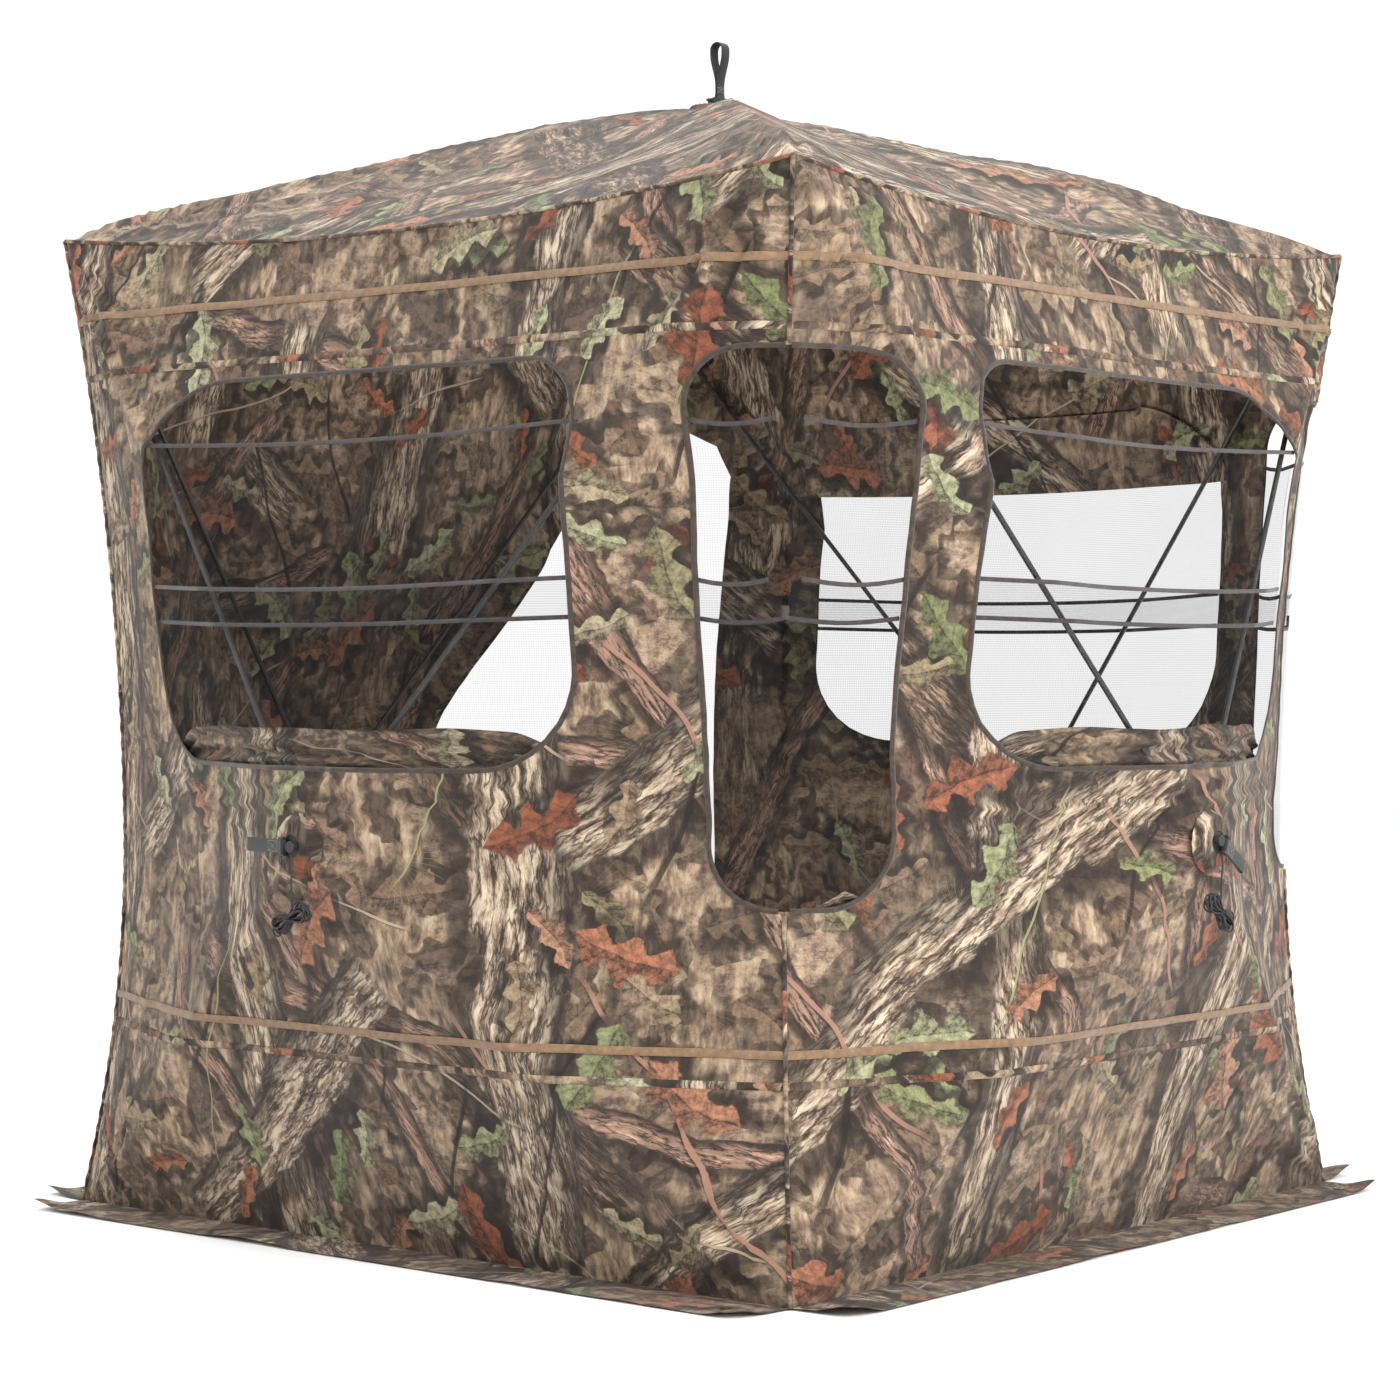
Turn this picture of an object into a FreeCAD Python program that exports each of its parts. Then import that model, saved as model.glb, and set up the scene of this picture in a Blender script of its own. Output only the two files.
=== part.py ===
import FreeCAD, Part
import math
import os

# Pop up ground blind: four fabric walls and a roof, each pushed out by a hub with four
# fibreglass poles. Origin at the middle of the footprint on the ground, +Z up, mm.
# Everything of a wall is drawn for the front wall (outward is -Y) and then turned about Z.

V = FreeCAD.Vector

# Cabin
SIDE = 1500.0            # corner to corner at the eaves
FOOT_SIDE = 1465.0       # corner to corner on the ground
HALF = SIDE / 2
FOOT = FOOT_SIDE / 2
WALL_H = 1565.0          # height of the four top corners
PEAK = 1800.0            # fabric apex of the roof
HUB_OUT = 210.0          # how far a wall's hub stands out from the top corners
HUB_Z = 615.0            # height of the wall hubs
EAVE_DIP = 42.0          # sag of each eave in the middle
CORNER_PULL = 80.0       # deepest inward curve of a corner seam, along the diagonal
CORNER_WAIST = 0.40      # height of that deepest point, as part of WALL_H
FABRIC = 3.0             # stand-in thickness of the coated cloth
SEAM_GAP = 0.5           # gap kept between neighbouring cloth panels
HUB_HOLE_R = 34.0        # hole in the cloth that a hub passes through

# Windows, as (left, right, bottom, top) on the wall, x away from the wall's middle
WALL_WINDOW = (-495.0, 412.0, 728.0, 1311.0)
WALL_WINDOW_R = [165.0, 150.0, 95.0, 190.0]   # lower left, lower right, upper right, upper left
CORNER_WINDOW_IN = 545.0  # edge of a corner window, from the wall's middle
CORNER_WINDOW = (537.0, 1313.0)
CORNER_WINDOW_R = 95.0
MESH_TOP = 1220.0
MESH_OVERLAP = (945.0, 1000.0)
MESH_LAP = 18.0          # how far the net runs on behind the cloth
MESH_THICK = 1.6

# Door at the back left corner
DOOR_IN = 590.0          # zip edge on the back wall, from the wall's middle
DOOR_BOTTOM = 60.0
DOOR_TOP = 1330.0
FLAP_FOLD = [(-665.0, 1330.0), (-605.0, 1262.0), (-509.0, 1134.0), (-385.0, 962.0),
             (-245.0, 792.0), (-195.0, 600.0), (-230.0, 330.0), (-345.0, 60.0)]
FLAP_ROLL = 62.0         # width of the folded-back flap

# Covers
BUNCH_H = 78.0
BUNCH_DEPTH = (7.0, 22.0)
RAISED_EDGE = 1197.0     # lower edge of the back window's cover

# Trim
STRIP_W = 12.0
STRIP_UPPER_Z = 1432.0
STRIP_LOWER_Z = 340.0
STRIP_CLEAR = 4.0         # kept free of the zip and the flap, above and below a ribbon
ZIP_TAPE_W = 14.0
ZIP_TAPE_TOP = 1220.0
SLIDER_SIZE = (10.0, 26.0)
SLIDER_AT = (576.0, 1170.0)
FLAP_THICK = 14.0
COVER_DROP = 22.0         # how far a dropped cover reaches below its window
CORNER_COVER_DROP = 24.0
CORNER_COVER_H = 70.0
COVER_ROUND = 20.0
RAISED_COVER_DEPTH = (8.5, 10.5)
RAISED_COVER_LAP = 25.0
SKIRT_W = 106.0
SKIRT_GAP = 1.2           # room for the foot of the wall, which leans outward
EYELET_R = 5.0
EYELET_OUT = 9.0
EYELET_H = 4.6
EYELET_X = 672.0

# Hub, in its own frame: z outward, apex of the cloth at z = 0
FLANGE_R = 38.0
FLANGE_THICK = 4.0
FLANGE_BACK = -5.2       # the cloth ends just inside this
NECK_R = 24.0
NECK_BACK = -14.0
DOME_R = 15.0            # top of the low dome on the flange
DOME_H = 4.0
KNOB_X = -6.0
KNOB_POST_R = 6.0
KNOB_R = 8.5
KNOB_H = 3.0
KNOB_TOP = 14.0
LUG_LEN = 9.0            # ears that hold the pull strap's pin
LUG_W = 3.0
LUG_TOP = 13.5
LUG_GAP = 0.6            # between the strap and a lug
PLATE_R = 32.0
PLATE_THICK = 6.0
YOKE_R = 10.0
YOKE_BACK = -44.0
PIVOT_R = 22.0           # the poles' pins, from the hub's axis
PIVOT_Z = -34.0
PIN_R = 2.5
PIN_FIT = 0.02           # a pin is this much smaller than its bore
RUNNING = 0.05           # radial clearance of the pole eyes on their pins
EYE_R = 7.0
EYE_W = 10.0
SLEEVE_START = 4.0        # inside the eye, where the sleeve joins it
ROD_START = 14.0          # from the pivot to the butt of the rod
EAR_W = 4.0
EAR_LEN = 20.0
EAR_H = 22.0
EAR_GAP = 0.4

# Poles
ROD_R = 4.25
SLEEVE_R = 6.5
SLEEVE_LEN = 46.0
TIP_R = 5.2
TIP_LEN = 30.0
AIM_INSET = (22.0, 22.0, 22.0)   # the point in a corner that the poles aim at
TIP_GAP = 34.0           # poles stop this far short of it, the opened pivot's clearance

# Pull straps and guy cords
STRAP_W = 20.0
STRAP_LEN = 96.0
WEBBING = 2.0
STRAP_PIVOT_X = 12.0
STRAP_PIVOT_Z = 9.0
CORD_D = 3.0
CORD_ROUTE = [(4.0, -15.0, 7.0), (7.0, -33.0, 8.5), (3.0, -54.0, 7.5), (5.0, -76.0, 6.5),
              (3.0, -96.0, 6.0)]
HANK_R = 11.0
HANK_LEN = 84.0
HANK_CENTRE = (1.0, -104.0, 5.5)

SIDES = {"front": 0, "right": 90, "back": 180, "left": 270}
WINDOW_WALLS = ("front", "right", "back")
MIRRORED = ("right",)            # walls whose window is the mirror of the front one's
RIGHT_CORNER_WINDOW = ("front", "right")   # walls with one at their right edge,
LEFT_CORNER_WINDOW = ("right", "back")     # and at their left edge, from outside
STRAP_BULGE = {"front": 7.4, "right": 7.4, "back": 7.4, "left": 7.4, "roof": 26.0}
STRAP_TURN = {"front": 180.0, "right": -24.0, "back": 180.0, "left": 200.0, "roof": 0.0}
STRAP_TILT = {"front": -12.0, "right": -12.0, "back": -12.0, "left": -12.0, "roof": 90.0}
HANK_TURN = {"front": 24.0, "right": -38.0, "back": 30.0, "left": -28.0}
POLE_CORNERS = {"upper_left": (-1, 1), "upper_right": (1, 1),
                "lower_left": (-1, -1), "lower_right": (1, -1)}


def corner_at(height):
    """How far out a corner seam stands along each axis at a height."""
    part = height / WALL_H
    reach = CORNER_WAIST if part < CORNER_WAIST else 1 - CORNER_WAIST
    pull = CORNER_PULL / math.sqrt(2) * (1 - ((part - CORNER_WAIST) / reach) ** 2)
    return FOOT + (HALF - FOOT) * part - pull


def inset(point, depth):
    """A point of the front wall's outer face, moved to a depth inside it."""
    return V(point.x * (1 - depth / HALF), point.y + depth, point.z * (1 - depth / WALL_H))


def roof_inset(point, depth):
    return V(point.x * (1 - depth / HALF), point.y * (1 - depth / HALF), point.z - depth)


def spaced(low, high, steps):
    return [low + (high - low) * i / steps for i in range(steps + 1)]


def wall_outline():
    """The boundary of the front wall, as points going round from the lower left."""
    top = WALL_H - SEAM_GAP
    wide = HALF - SEAM_GAP
    narrow = FOOT - SEAM_GAP
    right_edge = [V(corner_at(z) - SEAM_GAP, -corner_at(z), z) for z in spaced(0, top, 8)[1:-1]]
    left_edge = [V(-p.x, p.y, p.z) for p in reversed(right_edge)]
    eave = [V(x, -HALF, top - EAVE_DIP * (1 - (x / wide) ** 2)) for x in spaced(wide, -wide, 8)]
    return [V(-narrow, -FOOT, 0), V(narrow, -FOOT, 0)] + right_edge + eave + left_edge


def roof_outline():
    points = []
    for turn in (0, 90, 180, 270):
        rotation = FreeCAD.Rotation(V(0, 0, 1), turn)
        for x in spaced(-HALF, HALF, 8)[:-1]:
            dip = EAVE_DIP * (1 - (x / HALF) ** 2)
            points.append(rotation.multVec(V(x, -HALF, WALL_H + SEAM_GAP - dip)))
    return points


def flat_face(*points):
    return Part.Face(Part.makePolygon(list(points) + [points[0]]))


def cone_shell(outline, apex, move, outer, inner):
    """A closed sheet of flat facets from near the apex to the outline, between two depths."""
    near = 0.022
    far, close = {}, {}
    for depth in (outer, inner):
        centre = move(apex, depth)
        far[depth] = [move(p, depth) for p in outline]
        close[depth] = [centre + (p - centre) * near for p in far[depth]]
    faces = []
    for i in range(len(outline)):
        j = (i + 1) % len(outline)
        for depth in (outer, inner):
            faces.append(flat_face(far[depth][i], far[depth][j], close[depth][j], close[depth][i]))
        for rim in (far, close):
            faces.append(flat_face(rim[outer][i], rim[outer][j], rim[inner][j]))
            faces.append(flat_face(rim[outer][i], rim[inner][j], rim[inner][i]))
    sewn = Part.Compound(faces)
    sewn.sewShape()
    solid = Part.makeSolid(Part.makeShell(sewn.Faces))
    if solid.Volume < 0:
        solid.reverse()
    return solid


WALL_APEX = V(0, -HALF - HUB_OUT, HUB_Z)


def wall_layer(outer, inner):
    """A sheet that follows the front wall between two depths, 0 being its outer face."""
    return cone_shell(wall_outline(), WALL_APEX, inset, outer, inner)


def rounded_prism(left, right, bottom, top, radii):
    """A prism along Y of a rectangle with corner radii: lower left, lower right, upper
    right, upper left. It reaches from well outside the wall to inside the cabin."""
    corners = [(left, bottom), (right, bottom), (right, top), (left, top)]
    inward = [(1, 1), (-1, 1), (-1, -1), (1, -1)]
    edges = []
    ends = []
    for (x, z), (ix, iz), r in zip(corners, inward, radii):
        along = [V(x + ix * r, 0, z), V(x, 0, z + iz * r)]
        if ix * iz > 0:
            along.reverse()
        middle = V(x + ix * r * (1 - math.sqrt(0.5)), 0, z + iz * r * (1 - math.sqrt(0.5)))
        edges.append(Part.Arc(along[0], middle, along[1]).toShape())
        ends.append(along)
    for i in range(4):
        start, stop = ends[i][1], ends[(i + 1) % 4][0]
        if (start - stop).Length > 1e-6:
            edges.append(Part.makeLine(start, stop))
    wire = Part.Wire(Part.__sortEdges__(edges))
    return prism_along_y(wire)


def prism_along_y(wire, start=-HALF - HUB_OUT - 60, depth=HUB_OUT + 260):
    face = Part.Face(wire)
    face.translate(V(0, start, 0))
    return face.extrude(V(0, depth, 0))


def polygon_prism(points):
    corners = [V(x, 0, z) for x, z in points]
    return prism_along_y(Part.makePolygon(corners + corners[:1]))


def window_prism(grow=0.0, low=None, high=None):
    """The wall window's outline, made larger all round, and cut to a height range."""
    left, right, bottom, top = WALL_WINDOW
    radii = [r + grow for r in WALL_WINDOW_R]
    solid = rounded_prism(left - grow, right + grow, bottom - grow, top + grow, radii)
    return trimmed(solid, low, high)


def corner_window_prism(grow=0.0, low=None, high=None):
    """The half of a corner window at the right edge of the front wall."""
    r = CORNER_WINDOW_R + grow
    bottom, top = CORNER_WINDOW
    solid = rounded_prism(CORNER_WINDOW_IN - grow, HALF + 250, bottom - grow, top + grow,
                          [r, r, r, r])
    return trimmed(solid, low, high)


def trimmed(solid, low, high):
    if low is None:
        return solid
    slab = Part.makeBox(4 * HALF, 4 * HALF, high - low, V(-2 * HALF, -2 * HALF, low))
    return solid.common(slab)


def mirrored(shape):
    return shape.mirror(V(0, 0, 0), V(1, 0, 0))


def turned(shape, side):
    shape = shape.copy()
    shape.rotate(V(0, 0, 0), V(0, 0, 1), SIDES[side])
    return shape


def door_prism_back():
    return polygon_prism([(DOOR_IN, DOOR_BOTTOM), (HALF + 50, DOOR_BOTTOM),
                          (HALF + 50, DOOR_TOP), (DOOR_IN + 70, DOOR_TOP),
                          (DOOR_IN + 22, DOOR_TOP - 20), (DOOR_IN, DOOR_TOP - 75)])


def door_prism_left():
    return polygon_prism(FLAP_FOLD + [(-HALF - 50, DOOR_BOTTOM), (-HALF - 50, DOOR_TOP)])


def hub_bore():
    return Part.makeCylinder(HUB_HOLE_R, 200, V(0, -HALF - HUB_OUT - 100, HUB_Z), V(0, 1, 0))


def openings_of(side):
    """Everything that is cut out of one wall, in the front wall's place."""
    cuts = [hub_bore()]
    if side in WINDOW_WALLS:
        cuts.append(mirrored(window_prism()) if side in MIRRORED else window_prism())
    if side in RIGHT_CORNER_WINDOW:
        cuts.append(corner_window_prism())
    if side in LEFT_CORNER_WINDOW:
        cuts.append(mirrored(corner_window_prism()))
    if side == "back":
        cuts.append(door_prism_back())
    if side == "left":
        cuts.append(door_prism_left())
    return cuts


def solids(shape):
    return list(shape.Solids)


def make_walls():
    plain = wall_layer(0.0, FABRIC)
    return {"wall_" + side: [turned(s, side) for s in solids(plain.cut(openings_of(side)))]
            for side in SIDES}


def make_roof():
    apex = V(0, 0, PEAK)
    shell = cone_shell(roof_outline(), apex, roof_inset, 0.0, FABRIC)
    bore = Part.makeCylinder(HUB_HOLE_R, 200, V(0, 0, PEAK - 100))
    return {"roof": solids(shell.cut(bore))}


def make_strips():
    """Loop ribbons for brush, sewn round the walls above and below the windows."""
    layer = wall_layer(-1.6, -0.3)
    pieces = []
    for side in SIDES:
        for z in (STRIP_UPPER_Z, STRIP_LOWER_Z):
            slab = Part.makeBox(2 * SIDE, 2 * SIDE, STRIP_W, V(-SIDE, -SIDE, z - STRIP_W / 2))
            strip = layer.common(slab)
            if side == "back":
                strip = strip.cut(door_prism_back())
            if side == "left":
                strip = strip.cut(door_prism_left())
            pieces += [turned(s, side) for s in solids(strip)]
    return {"loop_strips": pieces}


def make_mesh():
    """Net panels behind the windows, in two overlapping rows."""
    rows = [(WALL_WINDOW[2] - MESH_LAP, MESH_OVERLAP[1], FABRIC + 0.4),
            (MESH_OVERLAP[0], MESH_TOP, FABRIC + 0.8 + MESH_THICK)]
    corner_rows = [(CORNER_WINDOW[0] - MESH_LAP, MESH_OVERLAP[1], FABRIC + 0.4),
                   (MESH_OVERLAP[0], MESH_TOP, FABRIC + 0.8 + MESH_THICK)]
    wall_pieces = []
    for low, high, depth in rows:
        layer = wall_layer(depth, depth + MESH_THICK)
        wall_pieces += solids(layer.common(window_prism(MESH_LAP, low, high)))
    corner_pieces = []
    for low, high, depth in corner_rows:
        layer = wall_layer(depth, depth + MESH_THICK)
        corner_pieces += solids(layer.common(corner_window_prism(MESH_LAP, low, high)))
    at_walls = [turned(mirrored(piece) if side in MIRRORED else piece, side)
                for side in WINDOW_WALLS for piece in wall_pieces]
    at_corners = [turned(p, side) for side in RIGHT_CORNER_WINDOW for p in corner_pieces]
    at_corners += [turned(mirrored(p), side) for side in LEFT_CORNER_WINDOW
                   for p in corner_pieces]
    return {"window_mesh": at_walls, "corner_window_mesh": at_corners}


def make_covers():
    """Window covers: dropped and bunched, and the back one raised part of the way down."""
    bunch_layer = wall_layer(*BUNCH_DEPTH)
    thin_layer = wall_layer(*RAISED_COVER_DEPTH)
    left, right, bottom, top = WALL_WINDOW
    low = bottom - COVER_DROP
    bunch = bunch_layer.common(rounded_prism(left + 45, right - 5, low, low + BUNCH_H, [COVER_ROUND] * 4))
    raised = thin_layer.common(window_prism(RAISED_COVER_LAP, RAISED_EDGE, top + RAISED_COVER_LAP))
    corner_low = CORNER_WINDOW[0] - CORNER_COVER_DROP
    corner_bunch = bunch_layer.common(
        rounded_prism(CORNER_WINDOW_IN + 5, HALF + 60, corner_low, corner_low + CORNER_COVER_H, [18] * 4))
    corner_bunches = []
    for side in RIGHT_CORNER_WINDOW:
        corner_bunches += [turned(s, side) for s in solids(corner_bunch)]
    for side in LEFT_CORNER_WINDOW:
        corner_bunches += [turned(mirrored(s), side) for s in solids(corner_bunch)]
    return {
        "window_cover_front": solids(bunch),
        "window_cover_right": [turned(mirrored(s), "right") for s in solids(bunch)],
        "window_cover_back": [turned(s, "back") for s in solids(raised)],
        "corner_window_covers": corner_bunches,
    }


def band_outside(points, width, thick):
    """A band on the outer face of the wall, to the right of a line of points."""
    shifted = [(x + width, z - width * 0.25) for x, z in reversed(points)]
    layer = wall_layer(-0.4 - thick, -0.4)
    return layer.common(polygon_prism(points + shifted))


def make_door():
    """The door flap, folded back and rolled against the left wall, and the zip."""
    flap = band_outside([(x + 3, z) for x, z in FLAP_FOLD[2:-1]], FLAP_ROLL, FLAP_THICK)
    far_out = -2 * HALF
    tape = wall_layer(-2.4, -0.4).common(Part.makeBox(
        ZIP_TAPE_W, 2 * HALF, ZIP_TAPE_TOP - DOOR_BOTTOM, V(DOOR_IN - 16, far_out, DOOR_BOTTOM)))
    slider = wall_layer(-8.4, -2.8).common(Part.makeBox(
        SLIDER_SIZE[0], 2 * HALF, SLIDER_SIZE[1], V(SLIDER_AT[0], far_out, SLIDER_AT[1])))
    ribbon_room = Part.makeBox(2 * SIDE, 2 * HALF, STRIP_W + 2 * STRIP_CLEAR,
                               V(-SIDE, far_out, STRIP_LOWER_Z - STRIP_W / 2 - STRIP_CLEAR))
    zip_pieces = [p for piece in solids(tape) + solids(slider) for p in solids(piece.cut(ribbon_room))]
    return {"door_flap": [turned(s, "left") for s in solids(flap.cut(ribbon_room))],
            "door_zip": [turned(s, "back") for s in zip_pieces]}


def make_skirt():
    """Ground flaps with their stake eyelets, one of each to a side."""
    flap = Part.makeBox(FOOT_SIDE, SKIRT_W - SKIRT_GAP, FABRIC,
                        V(-FOOT, -FOOT - SEAM_GAP - SKIRT_W, 0))
    y = -FOOT - SKIRT_W * 0.6
    flap = flap.cut(Part.makeCylinder(EYELET_OUT + 0.05, 20, V(EYELET_X, y, -10)))
    ring = Part.makeCylinder(EYELET_OUT, EYELET_H, V(EYELET_X, y, 0))
    ring = ring.cut(Part.makeCylinder(EYELET_R, 20, V(EYELET_X, y, -10)))
    return {"ground_skirt": [turned(flap, side) for side in SIDES],
            "stake_eyelets": [turned(ring, side) for side in SIDES]}


def wedge(points):
    """A solid with four flat faces through four points."""
    a, b, c, d = points
    faces = [flat_face(p, q, r) for p, q, r in ((a, b, c), (a, b, d), (b, c, d), (a, c, d))]
    solid = Part.makeSolid(Part.makeShell(faces))
    if solid.Volume < 0:
        solid.reverse()
    return solid


def make_corner_pockets():
    """Moulded seats for the pole tips, sewn into the eight corners."""
    top = wedge([V(HALF - 8, -HALF + 8, WALL_H - 12), V(HALF - 38, -HALF + 8, WALL_H - 15),
                 V(HALF - 8, -HALF + 38, WALL_H - 15), V(HALF - 17, -HALF + 17, WALL_H - 38)])
    foot = wedge([V(FOOT - 7, -FOOT + 7, 4), V(FOOT - 38, -FOOT + 7, 4),
                  V(FOOT - 7, -FOOT + 38, 4), V(FOOT - 18, -FOOT + 18, 30)])
    return {"corner_pockets": [turned(s, side) for s in (top, foot) for side in SIDES]}


def hub_placement(side):
    if side == "roof":
        return FreeCAD.Placement(V(0, 0, PEAK), FreeCAD.Rotation())
    upright = FreeCAD.Placement(WALL_APEX, FreeCAD.Rotation(V(1, 0, 0), 90))
    turn = FreeCAD.Placement(V(0, 0, 0), FreeCAD.Rotation(V(0, 0, 1), SIDES[side]))
    return turn.multiply(upright)


def placed(shape, placement):
    shape = shape.copy()
    shape.Placement = placement.multiply(shape.Placement)
    return shape


def aim_points(side):
    """The corner points that a hub's four poles aim at, in the hub's own frame."""
    dx, dy, dz = AIM_INSET
    back = hub_placement(side).inverse()
    found = {}
    for name, (sx, sz) in POLE_CORNERS.items():
        if side == "roof":
            world = V(sx * (HALF - dx), sz * (HALF - dy), WALL_H - dz)
        else:
            height, out = (WALL_H - dz, HALF) if sz > 0 else (dz, FOOT)
            world = V(sx * (out - dx), -out + dy, height)
            world = FreeCAD.Rotation(V(0, 0, 1), SIDES[side]).multVec(world)
        found[name] = back.multVec(world)
    return found


def pole_facts(aim):
    """Pivot, direction, turning axis, rest angle and drop of one pole, in the hub frame."""
    flat = V(aim.x, aim.y, 0).normalize()
    pivot = flat * PIVOT_R + V(0, 0, PIVOT_Z)
    line = aim - pivot
    drop = -line.z
    reach = math.hypot(line.x, line.y)
    angle = math.atan2(drop, reach)
    return {"flat": flat, "pivot": pivot, "angle": angle, "drop": drop,
            "length": line.Length - TIP_GAP, "axis": V(0, 0, -1).cross(flat)}


def bar_y(radius, x, z, reach):
    """A round bar along Y, as long as twice the reach."""
    return Part.makeCylinder(radius, 2 * reach, V(x, -reach, z), V(0, 1, 0))


def make_hub(side):
    """Inner yoke with four clevises, and the pins through them."""
    plate = Part.makeCylinder(PLATE_R, PLATE_THICK, V(0, 0, NECK_BACK - PLATE_THICK))
    yoke = plate.fuse(Part.makeCylinder(YOKE_R, NECK_BACK - YOKE_BACK, V(0, 0, YOKE_BACK)))
    inner = EYE_W / 2 + EAR_GAP
    outer = inner + EAR_W
    pins = []
    for aim in aim_points(side).values():
        flat = pole_facts(aim)["flat"]
        turn = math.degrees(math.atan2(flat.y, flat.x))
        for y in (inner, -outer):
            ear = Part.makeBox(EAR_LEN, EAR_W, EAR_H,
                               V(PIVOT_R - 0.65 * EAR_LEN, y, NECK_BACK - PLATE_THICK - EAR_H))
            ear.rotate(V(0, 0, 0), V(0, 0, 1), turn)
            yoke = yoke.fuse(ear)
        hole = bar_y(PIN_R, PIVOT_R, PIVOT_Z, outer + 10)
        hole.rotate(V(0, 0, 0), V(0, 0, 1), turn)
        yoke = yoke.cut(hole)
        pin = bar_y(PIN_R - PIN_FIT, PIVOT_R, PIVOT_Z, outer + 0.5)
        pin.rotate(V(0, 0, 0), V(0, 0, 1), turn)
        pins.append(pin)
    return [placed(s, hub_placement(side)) for s in solids(yoke) + pins]


def make_hub_cap(side):
    """Outer flange and neck through the cloth, with the lugs and pin of the pull strap."""
    flange_top = FLANGE_BACK + FLANGE_THICK
    flange = Part.makeCylinder(FLANGE_R, FLANGE_THICK, V(0, 0, FLANGE_BACK))
    flange = flange.makeFillet(FLANGE_THICK / 3, flange.Edges[:1])
    neck = Part.makeCylinder(NECK_R, flange_top - NECK_BACK, V(0, 0, NECK_BACK))
    dome = Part.makeCone(NECK_R, DOME_R, DOME_H, V(0, 0, flange_top))
    post = Part.makeCylinder(KNOB_POST_R, KNOB_TOP - flange_top - 1, V(KNOB_X, 0, flange_top))
    knob = Part.makeCylinder(KNOB_R, KNOB_H, V(KNOB_X, 0, KNOB_TOP - KNOB_H))
    knob = knob.makeFillet(KNOB_H / 3, knob.Edges[:1])
    cap = flange.fuse([neck, dome, post, knob])
    inner = STRAP_W / 2 + LUG_GAP
    outer = inner + LUG_W
    for y in (inner, -outer):
        cap = cap.fuse(Part.makeBox(LUG_LEN, LUG_W, LUG_TOP - flange_top,
                                    V(STRAP_PIVOT_X - LUG_LEN / 2, y, flange_top)))
    cap = cap.cut(bar_y(PIN_R, STRAP_PIVOT_X, STRAP_PIVOT_Z, outer + 5))
    pin = bar_y(PIN_R - PIN_FIT, STRAP_PIVOT_X, STRAP_PIVOT_Z, outer)
    pieces = solids(cap) + [pin]
    for piece in pieces:
        piece.rotate(V(0, 0, 0), V(0, 0, 1), STRAP_TURN[side])
    return [placed(s, hub_placement(side)) for s in pieces]


def strap_loop(width, length, bulge):
    """A webbing loop along +X from the pivot: an eye, two layers that part by the bulge,
    and a rounded end."""
    end_r = bulge / 2
    outer = [V(0, 0, 4.0), V(length - end_r, 0, end_r), V(length, 0, 0),
             V(length - end_r, 0, -end_r), V(0, 0, -4.0)]
    top = Part.makeLine(outer[0], outer[1])
    nose = Part.Arc(outer[1], outer[2], outer[3]).toShape()
    low = Part.makeLine(outer[3], outer[4])
    eye = Part.Arc(outer[4], V(-4.0, 0, 0), outer[0]).toShape()
    body = Part.Face(Part.Wire([top, nose, low, eye])).extrude(V(0, width, 0))
    inner_r = end_r - WEBBING
    start = 9.0
    gap = [V(start, 0, 4.0 - WEBBING), V(length - end_r, 0, inner_r),
           V(length - WEBBING, 0, 0), V(length - end_r, 0, -inner_r),
           V(start, 0, WEBBING - 4.0)]
    hollow = Part.Face(Part.Wire([
        Part.makeLine(gap[0], gap[1]), Part.Arc(gap[1], gap[2], gap[3]).toShape(),
        Part.makeLine(gap[3], gap[4]), Part.makeLine(gap[4], gap[0])]))
    body = body.cut(hollow.extrude(V(0, width, 0)))
    body = body.cut(Part.makeCylinder(PIN_R + RUNNING, width, V(0, 0, 0), V(0, 1, 0)))
    body.translate(V(0, -width / 2, 0))
    return body


def make_strap(side):
    strap = strap_loop(STRAP_W, STRAP_LEN, STRAP_BULGE[side])
    strap.rotate(V(0, 0, 0), V(0, 1, 0), -STRAP_TILT[side])
    strap.translate(V(STRAP_PIVOT_X, 0, STRAP_PIVOT_Z))
    strap.rotate(V(0, 0, 0), V(0, 0, 1), STRAP_TURN[side])
    return [placed(strap, hub_placement(side))]


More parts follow.
